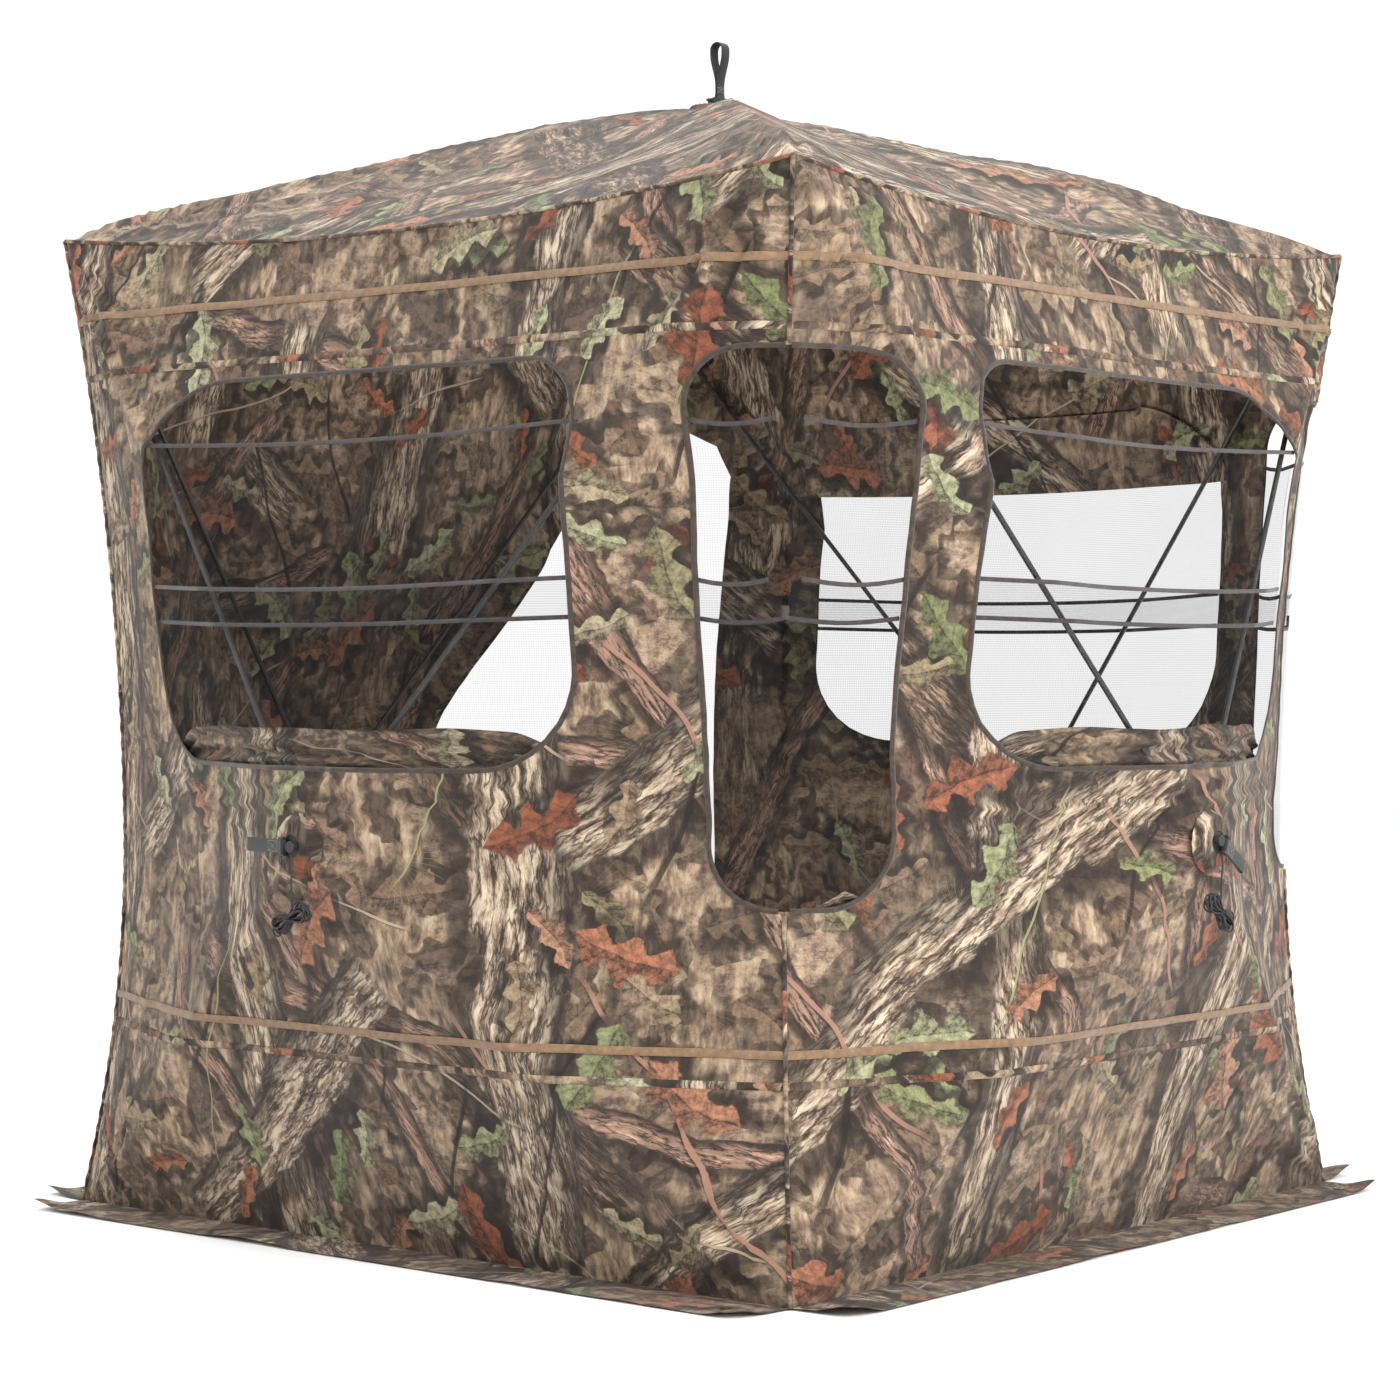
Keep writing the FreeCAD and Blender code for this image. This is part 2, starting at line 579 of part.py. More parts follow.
def make_pole(side, aim):
    """One pole along +X from its pivot: eyed sleeve, rod and tip."""
    facts = pole_facts(aim)
    eye = Part.makeCylinder(EYE_R, EYE_W, V(0, -EYE_W / 2, 0), V(0, 1, 0))
    sleeve = eye.fuse(Part.makeCylinder(SLEEVE_R, SLEEVE_LEN - SLEEVE_START,
                                        V(SLEEVE_START, 0, 0), V(1, 0, 0)))
    sides = Part.makeBox(30, 20, 20, V(-15, EYE_W / 2, -10))
    other = Part.makeBox(30, 20, 20, V(-15, -EYE_W / 2 - 20, -10))
    sleeve = sleeve.cut([sides, other])
    sleeve = sleeve.cut(Part.makeCylinder(ROD_R, SLEEVE_LEN, V(ROD_START, 0, 0), V(1, 0, 0)))
    sleeve = sleeve.cut(Part.makeCylinder(PIN_R + RUNNING, 20, V(0, -10, 0), V(0, 1, 0)))
    rod_end = facts["length"] - TIP_LEN / 3
    rod = Part.makeCylinder(ROD_R, rod_end - ROD_START, V(ROD_START, 0, 0), V(1, 0, 0))
    tip = Part.makeCylinder(TIP_R, TIP_LEN, V(facts["length"] - TIP_LEN, 0, 0), V(1, 0, 0))
    tip = tip.makeFillet(3.0, [tip.Edges[0]])
    tip = tip.cut(Part.makeCylinder(ROD_R, 2 * TIP_LEN / 3,
                                    V(facts["length"] - TIP_LEN, 0, 0), V(1, 0, 0)))
    turn = math.degrees(math.atan2(facts["flat"].y, facts["flat"].x))
    pieces = []
    for piece in solids(sleeve) + [rod] + solids(tip):
        piece.rotate(V(0, 0, 0), V(0, 1, 0), math.degrees(facts["angle"]))
        piece.rotate(V(0, 0, 0), V(0, 0, 1), turn)
        piece.translate(facts["pivot"])
        pieces.append(placed(piece, hub_placement(side)))
    return pieces


def rounded_path(points):
    """Straight runs joined by arcs as large as the runs allow. Returns edges and radii."""
    edges = []
    radii = []
    start = points[0]
    for before, at, after in zip(points, points[1:], points[2:]):
        a, b = before - at, after - at
        half_turn = (math.pi - a.getAngle(b)) / 2
        back = 0.45 * min(a.Length, b.Length)
        radii.append(back / math.tan(half_turn))
        a.normalize()
        b.normalize()
        first, last = at + a * back, at + b * back
        to_centre = (a + b).normalize()
        centre = at + to_centre * (radii[-1] / math.cos(half_turn))
        edges.append(Part.makeLine(start, first))
        edges.append(Part.Arc(first, centre - to_centre * radii[-1], last).toShape())
        start = last
    edges.append(Part.makeLine(start, points[-1]))
    return edges, radii


def make_guy_cord(side):
    points = [V(*p) for p in CORD_ROUTE]
    edges, radii = rounded_path(points)
    path = Part.Wire(edges)
    first = (points[1] - points[0]).normalize()
    section = Part.Wire(Part.makeCircle(CORD_D / 2, points[0], first))
    tube = path.makePipeShell([section], True, False)
    expected = math.pi * (CORD_D / 2) ** 2 * path.Length
    print(f"guy cord {side}: radii {[round(r, 1) for r in radii]} mm, "
          f"volume {tube.Volume:.1f} against {expected:.1f} mm3")
    return [placed(s, hub_placement(side)) for s in solids(tube)]


def make_guy_hank(side):
    straight = HANK_LEN - 2 * HANK_R
    hank = Part.makeCylinder(HANK_R, straight, V(-straight / 2, 0, 0), V(1, 0, 0))
    for x in (-straight / 2, straight / 2):
        hank = hank.fuse(Part.makeSphere(HANK_R, V(x, 0, 0)))
    hank.rotate(V(0, 0, 0), V(0, 0, 1), HANK_TURN[side])
    hank.translate(V(*HANK_CENTRE))
    return [placed(s, hub_placement(side)) for s in solids(hank)]


def hub_parts():
    nodes = {}
    for side in (*SIDES, "roof"):
        nodes["hub_" + side] = make_hub(side)
        nodes["hub_cap_" + side] = make_hub_cap(side)
        nodes["pull_strap_" + side] = make_strap(side)
        for name, aim in aim_points(side).items():
            nodes[f"pole_{side}_{name}"] = make_pole(side, aim)
    for side in SIDES:
        nodes["guy_cord_" + side] = make_guy_cord(side)
        nodes["guy_hank_" + side] = make_guy_hank(side)
    return nodes


def main():
    os.makedirs("parts", exist_ok=True)
    nodes = {}
    for maker in (make_walls, make_roof, make_strips, make_mesh, make_covers, make_door,
                  make_skirt, make_corner_pockets, hub_parts):
        nodes.update(maker())
    for name, pieces in nodes.items():
        for piece in pieces:
            if not piece.isValid() or piece.Volume <= 0:
                print(f"{name} has a bad solid")
        Part.makeCompound(pieces).exportStep(f"parts/{name}.step")
    print(f"{len(nodes)} nodes, {sum(len(p) for p in nodes.values())} solids")


main()
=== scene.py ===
import math
from bisect import bisect_right

import bpy
from mathutils import Matrix, Vector, geometry, noise
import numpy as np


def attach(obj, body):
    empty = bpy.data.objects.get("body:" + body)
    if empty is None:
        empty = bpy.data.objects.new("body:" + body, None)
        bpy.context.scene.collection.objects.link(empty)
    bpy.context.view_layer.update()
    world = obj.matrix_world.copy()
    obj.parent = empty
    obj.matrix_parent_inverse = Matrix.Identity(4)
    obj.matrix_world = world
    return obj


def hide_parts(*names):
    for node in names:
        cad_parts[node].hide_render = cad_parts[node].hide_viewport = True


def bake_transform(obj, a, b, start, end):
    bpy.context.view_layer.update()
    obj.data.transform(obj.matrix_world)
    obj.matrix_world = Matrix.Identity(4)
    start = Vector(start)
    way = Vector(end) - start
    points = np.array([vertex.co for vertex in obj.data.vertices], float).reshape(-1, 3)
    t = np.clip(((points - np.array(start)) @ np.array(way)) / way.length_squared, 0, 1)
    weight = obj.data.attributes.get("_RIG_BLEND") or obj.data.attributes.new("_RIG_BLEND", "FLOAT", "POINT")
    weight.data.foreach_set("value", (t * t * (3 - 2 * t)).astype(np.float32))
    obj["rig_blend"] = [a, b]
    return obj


# Pop up ground blind. Metres, origin at the middle of the footprint, +Z up. Each cloth panel
# is drawn flat in its own (u, v) and lifted along w: on a wall u runs to the right seen from
# outside, v up and w outward, and on the roof they are x, y and z.

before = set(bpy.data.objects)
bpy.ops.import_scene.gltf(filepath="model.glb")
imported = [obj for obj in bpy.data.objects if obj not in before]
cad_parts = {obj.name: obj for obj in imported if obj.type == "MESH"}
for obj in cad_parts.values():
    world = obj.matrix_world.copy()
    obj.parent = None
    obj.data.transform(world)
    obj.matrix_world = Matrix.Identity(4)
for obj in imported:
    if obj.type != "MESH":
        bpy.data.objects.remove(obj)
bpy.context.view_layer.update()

HALF = 0.750
FOOT = 0.7325
WALL_H = 1.565
PEAK = 1.800
HUB_OUT = 0.210
HUB_Z = 0.615
EAVE_DIP = 0.042
CORNER_PULL = 0.080
CORNER_WAIST = 0.40
SEAM_GAP = 0.0005
CORNER_SEAM_R = 0.0034
EAVE_SEAM_R = 0.0032
HUB_HOLE_R = 0.030
TURN = {"front": 0, "right": 90, "back": 180, "left": 270}
WINDOW_WALLS = ("front", "right", "back")
WINDOW = (-0.495, 0.412, 0.728, 1.311)
WINDOW_R = (0.165, 0.150, 0.095, 0.190)
CORNER_WINDOW = (0.537, 1.313)
# Each half of a corner window: its wall, and 1 for the wall's right end or -1 for its left,
# with how far its open edge is from the wall's middle, and the radius of its corners.
CORNER_HALVES = {("front", 1): (0.580, 0.090), ("right", 1): (0.600, 0.070),
                 ("right", -1): (0.520, 0.105), ("back", -1): (0.600, 0.070)}
MESH_TOP = 1.220
MESH_OVERLAP = (0.945, 1.000)
DOOR_IN = 0.590
DOOR_BOTTOM = 0.060
DOOR_TOP = 1.330
FLAP_FOLD = [(-0.665, 1.330), (-0.605, 1.262), (-0.509, 1.134), (-0.385, 0.962),
             (-0.245, 0.792), (-0.195, 0.600), (-0.230, 0.330), (-0.345, 0.060)]
SLIDER = (0.581, 1.190)
STRIP_UPPER_Z = 1.432
STRIP_LOWER_Z = 0.340
SKIRT_W = 0.106
CORD_D = 0.003
CORD_ROUTE = [(4.0, -15.0, 7.0), (7.0, -33.0, 8.5), (3.0, -54.0, 7.5), (5.0, -76.0, 6.5),
              (3.0, -96.0, 6.0)]
HANK_CENTRE = (1.0, -104.0, 5.5)
HANK_TURN = {"front": 24.0, "right": -38.0, "back": 30.0, "left": -28.0}
STRAP_TURN = {"front": 180.0, "right": -24.0, "back": 180.0, "left": 200.0}
CLOTH_STEP = 0.011


def add_camera():
    data = bpy.data.cameras.new("camera")
    data.lens = 87.45
    data.sensor_width = 36.0
    data.clip_end = 60.0
    camera = bpy.data.objects.new("camera", data)
    bpy.context.scene.collection.objects.link(camera)
    camera.location = (3.5725, -4.3707, 0.8848)
    camera.rotation_euler = (math.radians(89.317), 0.0, math.radians(39.50))
    bpy.context.scene.camera = camera


def hub_matrix(side):
    """From a hub's own frame, z outward with the cloth's apex at zero, to the world."""
    if side == "roof":
        return Matrix.Translation((0, 0, PEAK))
    upright = Matrix.Translation((0, -HALF - HUB_OUT, HUB_Z)) @ Matrix.Rotation(math.pi / 2, 4, "X")
    return Matrix.Rotation(math.radians(TURN[side]), 4, "Z") @ upright


def new_object(name, data):
    made = bpy.data.objects.new(name, data)
    bpy.context.scene.collection.objects.link(made)
    return made


# ---------------------------------------------------------------- materials as node code


class Nodes:
    """Builds one material's nodes. Values may be numbers or sockets."""

    def __init__(self, name):
        self.material = bpy.data.materials.new(name)
        self.material.use_nodes = True
        self.tree = self.material.node_tree
        self.shader = self.tree.nodes["Principled BSDF"]
        self.output = self.tree.nodes["Material Output"]

    def node(self, kind, inputs=None, **settings):
        made = self.tree.nodes.new(kind)
        for key, value in settings.items():
            setattr(made, key, value)
        for key, value in (inputs or {}).items():
            self.feed(made.inputs[key], value)
        return made

    def feed(self, socket, value):
        if isinstance(value, bpy.types.NodeSocket):
            self.tree.links.new(value, socket)
        else:
            socket.default_value = value

    def math(self, operation, a, b=0.0, c=0.0):
        return self.node("ShaderNodeMath", {0: a, 1: b, 2: c}, operation=operation).outputs[0]

    def add(self, a, b):
        return self.math("ADD", a, b)

    def sub(self, a, b):
        return self.math("SUBTRACT", a, b)

    def mul(self, a, b):
        return self.math("MULTIPLY", a, b)

    def step(self, value, low, high):
        """0 below low, 1 above high, smooth between."""
        return self.node("ShaderNodeMapRange", {"Value": value, "From Min": low, "From Max": high},
                         interpolation_type="SMOOTHSTEP").outputs[0]

    def split(self, vector):
        return self.node("ShaderNodeSeparateXYZ", {0: vector}).outputs

    def join(self, x, y, z=0.0):
        return self.node("ShaderNodeCombineXYZ", {0: x, 1: y, 2: z}).outputs[0]

    def noise(self, vector, scale, detail=4.0, rough=0.55, output="Fac"):
        return self.node("ShaderNodeTexNoise", {"Vector": vector, "Scale": scale, "Detail": detail,
                                                "Roughness": rough}).outputs[output]

    def scaled(self, vector, x, y, z=1.0):
        return self.node("ShaderNodeMapping", {"Vector": vector, "Scale": (x, y, z)}).outputs[0]

    def turned(self, vector, degrees, shift=(0.0, 0.0, 0.0)):
        return self.node("ShaderNodeMapping", {"Vector": vector, "Location": shift,
                                               "Rotation": (0, 0, math.radians(degrees))}).outputs[0]

    def mix(self, factor, a, b):
        """Colour a, turning to b as the factor rises."""
        made = self.node("ShaderNodeMix", data_type="RGBA")
        self.feed(made.inputs["Factor"], factor)
        self.feed(made.inputs[6], a)
        self.feed(made.inputs[7], b)
        return made.outputs[2]

    def ramp(self, value, *stops):
        """A colour for a value, from (position, colour) stops."""
        made = self.node("ShaderNodeValToRGB", {"Fac": value})
        elements = made.color_ramp.elements
        while len(elements) < len(stops):
            elements.new(0.5)
        for element, (position, colour) in zip(elements, stops):
            element.position = position
            element.color = colour
        return made.outputs["Color"]

    def bump(self, height, distance, strength=1.0, under=None):
        made = self.node("ShaderNodeBump", {"Height": height, "Distance": distance,
                                            "Strength": strength})
        if under is not None:
            self.feed(made.inputs["Normal"], under)
        return made.outputs["Normal"]

    def finish(self, colour, normal=None, **values):
        self.feed(self.shader.inputs["Base Color"], colour)
        if normal is not None:
            self.feed(self.shader.inputs["Normal"], normal)
        for key, value in values.items():
            self.feed(self.shader.inputs[key.replace("_", " ")], value)
        return self.material


def srgb(red, green, blue):
    """A linear colour from 0 to 255 display values."""
    return tuple(((c / 255 + 0.055) / 1.055) ** 2.4 for c in (red, green, blue)) + (1.0,)


BARK_LIGHT = srgb(206, 189, 166)
BARK_MID = srgb(140, 120, 104)
BARK_DARK = srgb(44, 36, 33)
SHADOW = srgb(34, 27, 25)
GROUND_GREY = srgb(100, 87, 84)
LEAF_TAN = srgb(178, 154, 128)
LEAF_RUST = srgb(192, 132, 106)
LEAF_RED = srgb(158, 98, 76)
LEAF_GREEN = srgb(132, 140, 96)
LEAF_PALE = srgb(210, 206, 170)
BRANCH_PINK = srgb(178, 138, 122)


def scatter(n, place, cells, seed, wander=0.004):
    """Gives each cell its own turned axes: place along and across, and three random numbers."""
    shifted = n.turned(place, seed * 37.0, (seed * 1.7, seed * 0.9, 0))
    wobble = n.noise(shifted, 14.0, 2.0, output="Color")
    drift = n.node("ShaderNodeVectorMath", {0: wobble, 3: wander}, operation="SCALE").outputs[0]
    bent = n.node("ShaderNodeVectorMath", {0: shifted, 1: drift}, operation="ADD").outputs[0]
    cell = n.node("ShaderNodeTexVoronoi", {"Vector": bent, "Scale": cells, "Randomness": 0.85},
                  voronoi_dimensions="2D")
    luck = n.split(cell.outputs["Color"])
    offset = n.node("ShaderNodeVectorMath", {0: bent, 1: cell.outputs["Position"]},
                    operation="SUBTRACT").outputs[0]
    local = n.node("ShaderNodeVectorRotate", {"Vector": offset, "Angle": n.mul(luck[0], 6.283)},
                   rotation_type="Z_AXIS").outputs[0]
    along, across, _ = n.split(local)
    return along, across, luck


def leaf_layer(n, place, cells, size, lobes, wanted, seed):
    """One lobed leaf per cell: its mask, its shadow, its shading and its random number."""
    along, across, luck = scatter(n, place, cells, seed, 0.024)
    part = n.math("DIVIDE", along, size)
    bow = n.mul(n.mul(part, part), 0.16)
    middle = n.add(n.math("DIVIDE", across, size), bow)
    side = n.math("ABSOLUTE", middle)
    ragged = n.noise(place, 52.0, 3.0)
    body = n.math("SQRT", n.math("MAXIMUM", n.sub(1.0, n.mul(part, part)), 0.0))
    wave = n.math("COSINE", n.add(n.mul(part, lobes), n.mul(side, 2.4)))
    width = n.mul(n.mul(body, n.add(0.62, n.mul(wave, 0.24))), n.add(0.22, n.mul(ragged, 0.70)))
    present = n.math("GREATER_THAN", luck[1], 1.0 - wanted)
    mask = n.mul(n.step(n.sub(width, side), 0.0, 0.06), present)
    under = n.math("ABSOLUTE", n.add(n.math("DIVIDE", n.add(across, size * 0.18), size), bow))
    shade = n.mul(n.step(n.sub(n.add(width, 0.12), under), -0.14, 0.14), present)
    rib = n.sub(1.0, n.step(side, 0.008, 0.034))
    slanted = n.math("SINE", n.mul(n.sub(part, n.mul(side, 0.9)), lobes * 2.4))
    vein = n.math("MAXIMUM", rib, n.mul(n.step(slanted, 0.86, 1.0), 0.5))
    mottle = n.noise(place, 74.0, 6.0, 0.74)
    turned_away = n.mul(n.step(middle, -0.02, 0.05), 0.30)
    dark = n.add(n.add(n.mul(vein, 0.34), n.mul(n.step(mottle, 0.66, 0.36), 0.62)), turned_away)
    return mask, shade, n.math("MINIMUM", dark, 0.95), luck[2]


def needle_layer(n, place, cells, size, wanted, seed):
    """Sprays of pine needles fanning out from a point."""
    along, across, luck = scatter(n, place, cells, seed)
    angle = n.math("ARCTAN2", across, along)
    reach = n.math("SQRT", n.add(n.mul(along, along), n.mul(across, across)))
    fan = n.step(n.math("ABSOLUTE", angle), 1.35, 1.0)
    comb = n.math("ABSOLUTE", n.math("SINE", n.add(n.mul(angle, 17.0), n.mul(reach, 60.0))))
    thin = n.step(comb, n.add(0.06, n.mul(reach, 1.4)), 0.0)
    ends = n.step(reach, n.add(size * 0.7, n.mul(n.noise(n.join(angle, luck[2]), 9.0), size * 0.5)),
                  size * 0.55)
    present = n.math("GREATER_THAN", luck[1], 1.0 - wanted)
    return n.mul(n.mul(n.mul(thin, fan), ends), present), luck[2]


def stripes(n, place, degrees, spacing, width, wander, seed, keep):
    """Long bands across the cloth, such as trunks and twigs: mask, shadow beside it, place
    across a band, and turned place."""
    turned = n.turned(place, degrees, (seed * 0.73, seed * 1.31, 0))
    x, y, _ = n.split(turned)
    drift = n.noise(turned, 2.6, 2.0, 0.5)
    edge = n.noise(turned, 26.0, 3.0, 0.6)
    moved = n.add(n.add(y, n.mul(n.sub(drift, 0.5), wander)), n.mul(n.sub(edge, 0.5), width * 0.4))
    band = n.math("DIVIDE", moved, spacing)
    row = n.math("FLOOR", band)
    across = n.mul(n.sub(n.sub(band, row), 0.5), spacing / width)
    breaks = n.noise(n.join(x, n.mul(row, 7.3)), 1.6, 1.0, 0.5)
    present = n.step(breaks, 1.0 - keep - 0.015, 1.0 - keep + 0.015)
    mask = n.mul(n.step(n.math("ABSOLUTE", across), 0.52, 0.44), present)
    shade = n.mul(n.step(n.math("ABSOLUTE", n.add(across, 0.22)), 0.72, 0.45), present)
    return mask, shade, across, turned


def bark(n, turned, across, grain, light, mid, dark):
    """Furrowed bark along a band, lit on one side."""
    warp = n.node("ShaderNodeVectorMath", {0: n.noise(turned, 20.0, 3.0, output="Color"),
                                           3: 0.014}, operation="SCALE").outputs[0]
    moved = n.node("ShaderNodeVectorMath", {0: turned, 1: warp}, operation="ADD").outputs[0]
    plates = n.noise(n.scaled(moved, grain * 0.20, grain), 1.0, 7.0, 0.74)
    cracks = n.math("ABSOLUTE", n.sub(n.noise(n.scaled(moved, grain * 0.16, grain * 0.7), 1.0, 4.0), 0.5))
    colour = n.ramp(plates, (0.38, dark), (0.48, mid), (0.57, light), (0.72, srgb(228, 214, 192)))
    colour = n.mix(n.mul(n.step(cracks, 0.050, 0.0), 0.88), colour, dark)
    rim = n.step(n.math("ABSOLUTE", n.add(across, 0.14)), 0.14, 0.58)
    return n.mix(n.mul(rim, 0.86), colour, dark)


TRUNKS = [(62.0, 0.33, 0.048, 2, 0.50, 130.0, BRANCH_PINK, BARK_MID),
          (14.0, 0.46, 0.052, 15, 0.46, 120.0, BRANCH_PINK, BARK_MID),
          (40.0, 0.52, 0.100, 13, 0.46, 84.0, srgb(158, 134, 114), srgb(104, 86, 74)),
          (91.0, 0.50, 0.120, 3, 0.58, 74.0, BARK_LIGHT, BARK_MID),
          (-38.0, 0.58, 0.105, 4, 0.50, 80.0, BARK_LIGHT, BARK_MID)]
TWIGS = [(24.0, 5, srgb(186, 168, 146), 0.0042), (-70.0, 6, srgb(160, 158, 118), 0.0036),
         (112.0, 7, SHADOW, 0.0060), (50.0, 10, BRANCH_PINK, 0.0070)]


def ground(n, place):
    """Blurred upright litter, light and dark, under everything else."""
    blades = n.noise(n.scaled(place, 58.0, 20.0), 1.0, 5.0, 0.66)
    fleck = n.noise(n.scaled(place, 1.0, 1.6), 34.0, 9.0, 0.80)
    soft = n.ramp(blades, (0.36, srgb(76, 64, 58)), (0.47, srgb(132, 112, 96)), (0.56, srgb(176, 154, 130)),
                  (0.68, srgb(208, 190, 166)))
    crisp = n.ramp(fleck, (0.38, SHADOW), (0.46, GROUND_GREY), (0.53, LEAF_TAN), (0.66, BARK_LIGHT))
    where = n.step(n.noise(place, 5.0, 3.0, 0.6), 0.44, 0.58)
    colour = n.mix(where, soft, n.mix(0.6, soft, crisp))
    patch = n.noise(place, 3.4, 4.0, 0.62)
    return n.mix(n.step(patch, 0.54, 0.34), colour, n.mix(0.58, colour, SHADOW))


def woodland(n, place):
    """A generic woodland print: litter, trunks, logs, twigs, needles and leaves."""
    colour = ground(n, place)
    dry_tones = ((0.0, srgb(112, 92, 82)), (0.35, srgb(172, 148, 122)), (0.7, srgb(140, 112, 96)),
                 (1.0, srgb(196, 172, 144)))
    for cells, size, lobes, wanted, seed, cover in ((13.0, 0.044, 8.0, 0.80, 1, 0.75),
                                                    (7.0, 0.072, 8.5, 0.75, 12, 0.82)):
        mask, shade, dark, luck = leaf_layer(n, place, cells, size, lobes, wanted, seed)
        colour = n.mix(n.mul(shade, 0.72), colour, SHADOW)
        colour = n.mix(n.mul(mask, cover), colour, n.mix(dark, n.ramp(luck, *dry_tones), BARK_DARK))
    for degrees, spacing, width, seed, keep, grain, light, mid in TRUNKS:
        mask, shade, across, turned = stripes(n, place, degrees, spacing, width, 0.20, seed, keep)
        colour = n.mix(n.mul(shade, 0.74), colour, SHADOW)
        colour = n.mix(mask, colour, bark(n, turned, across, grain, light, mid, BARK_DARK))
    for degrees, seed, tone, width in TWIGS:
        mask, shade, across, turned = stripes(n, place, degrees, 0.17, width, 0.16, seed, 0.40)
        colour = n.mix(n.mul(shade, 0.55), colour, SHADOW)
        colour = n.mix(n.mul(mask, 0.75), colour, tone)
    mask, luck = needle_layer(n, place, 4.4, 0.085, 0.50, 11)
    needles = n.ramp(luck, (0.0, srgb(118, 130, 74)), (0.6, srgb(164, 162, 116)), (1.0, srgb(166, 108, 80)))
    colour = n.mix(n.mul(mask, 0.75), colour, needles)
    greens = ((0.0, LEAF_GREEN), (0.4, LEAF_PALE), (0.7, LEAF_TAN), (1.0, srgb(158, 162, 118)))
    rusts = ((0.0, LEAF_RED), (0.45, LEAF_RUST), (1.0, srgb(204, 162, 136)))
    for cells, size, lobes, wanted, seed, tones in ((8.6, 0.050, 8.0, 0.13, 16, rusts),
                                                    (8.2, 0.052, 8.0, 0.26, 17, greens),
                                                    (5.0, 0.070, 9.0, 0.27, 8, greens),
                                                    (4.3, 0.080, 9.5, 0.25, 9, rusts)):
        mask, shade, dark, luck = leaf_layer(n, place, cells, size, lobes, wanted, seed)
        colour = n.mix(n.mul(shade, 0.78), colour, SHADOW)
        colour = n.mix(n.mul(mask, 0.92), colour, n.mix(dark, n.ramp(luck, *tones), BARK_DARK))
    return colour


def weave(n, place, threads, distance, under=None):
    """Fine plain weave as bump."""
    u, v, _ = n.split(place)
    warp = n.math("SINE", n.mul(u, threads))
    weft = n.math("SINE", n.mul(v, threads))
    return n.bump(n.mul(warp, weft), distance, 0.5, under)


def camo_material(name):
    n = Nodes(name)
    place = n.node("ShaderNodeUVMap", uv_map="cloth").outputs[0]
    colour = woodland(n, place)
    fade = n.noise(place, 1.1, 2.0)
    colour = n.mix(n.mul(n.sub(fade, 0.3), 0.06), colour, srgb(176, 158, 136))
    colour = n.node("ShaderNodeHueSaturation", {"Color": colour, "Saturation": 1.10,
                                                "Value": 0.80}).outputs[0]
    creases = n.noise(place, 30.0, 4.0, 0.6)
    normal = n.bump(creases, 0.004, 0.35)
    normal = weave(n, place, 5200.0, 0.0004, normal)
    rough = n.add(0.62, n.mul(creases, 0.22))
    n.feed(n.shader.inputs["Roughness"], rough)
    return n.finish(colour, normal, Sheen_Weight=0.08, Specular_IOR_Level=0.22)


def net_material():
    """Fine black net, seen partly through."""
    n = Nodes("shoot_through_net")
    place = n.node("ShaderNodeUVMap", uv_map="cloth").outputs[0]
    u, v, _ = n.split(place)
    cloud = n.noise(place, 5.0, 3.0)
    thread = n.math("MAXIMUM", n.math("SINE", n.mul(u, 1900.0)), n.math("SINE", n.mul(v, 1900.0)))
    cover = n.add(n.mul(n.step(thread, 0.2, 0.95), 0.10), n.add(0.05, n.mul(cloud, 0.06)))
    n.feed(n.shader.inputs["Alpha"], cover)
    n.material.blend_method = "HASHED"
    return n.finish(n.ramp(cloud, (0.3, srgb(26, 26, 28)), (0.7, srgb(44, 44, 46))),
                    Roughness=0.7, Specular_IOR_Level=0.25)


def ribbon_material(name, base, worn, threads=2600.0):
    n = Nodes(name)
    place = n.node("ShaderNodeUVMap", uv_map="cloth").outputs[0]
    patch = n.noise(place, 90.0, 4.0)
    colour = n.ramp(patch, (0.3, base), (0.75, worn))
    return n.finish(colour, weave(n, place, threads, 0.0006), Roughness=0.74,
                    Sheen_Weight=0.25, Specular_IOR_Level=0.25)


def webbing_material():
    n = Nodes("black_webbing")
    place = n.node("ShaderNodeTexCoord").outputs["Object"]
    x, y, z = n.split(place)
    rib = n.math("SINE", n.mul(n.add(n.add(x, y), z), 2600.0))
    fuzz = n.noise(place, 420.0, 3.0)
    colour = n.ramp(fuzz, (0.3, srgb(15, 15, 16)), (0.8, srgb(44, 43, 44)))
    normal = n.bump(n.add(rib, n.mul(fuzz, 0.8)), 0.0005, 0.7)
    return n.finish(colour, normal, Roughness=0.72, Sheen_Weight=0.2, Specular_IOR_Level=0.3)


def cord_material():
    """Braided black cord."""
    n = Nodes("black_braid")
    place = n.node("ShaderNodeTexCoord").outputs["Object"]
    braid = n.node("ShaderNodeTexVoronoi", {"Vector": place, "Scale": 900.0}).outputs["Distance"]
    colour = n.ramp(braid, (0.2, srgb(14, 14, 15)), (0.8, srgb(52, 52, 54)))
    return n.finish(colour, n.bump(braid, 0.0006, 0.8), Roughness=0.55, Specular_IOR_Level=0.4)


def plastic_material(name, base, light, rough):
    """Moulded plastic with fine grain, and scuffs on its edges."""
    n = Nodes(name)
    place = n.node("ShaderNodeTexCoord").outputs["Object"]
    grain = n.noise(place, 900.0, 3.0)
    scuff = n.noise(place, 60.0, 5.0, 0.7)
    edge = n.node("ShaderNodeNewGeometry").outputs["Pointiness"]
    worn = n.mul(n.step(edge, 0.52, 0.60), n.step(scuff, 0.4, 0.7))
    colour = n.mix(n.mul(worn, 0.7), n.mix(n.mul(scuff, 0.3), base, light), light)
    n.feed(n.shader.inputs["Roughness"], n.add(rough, n.mul(scuff, 0.2)))
    return n.finish(colour, n.bump(grain, 0.0003, 0.5), Specular_IOR_Level=0.5)


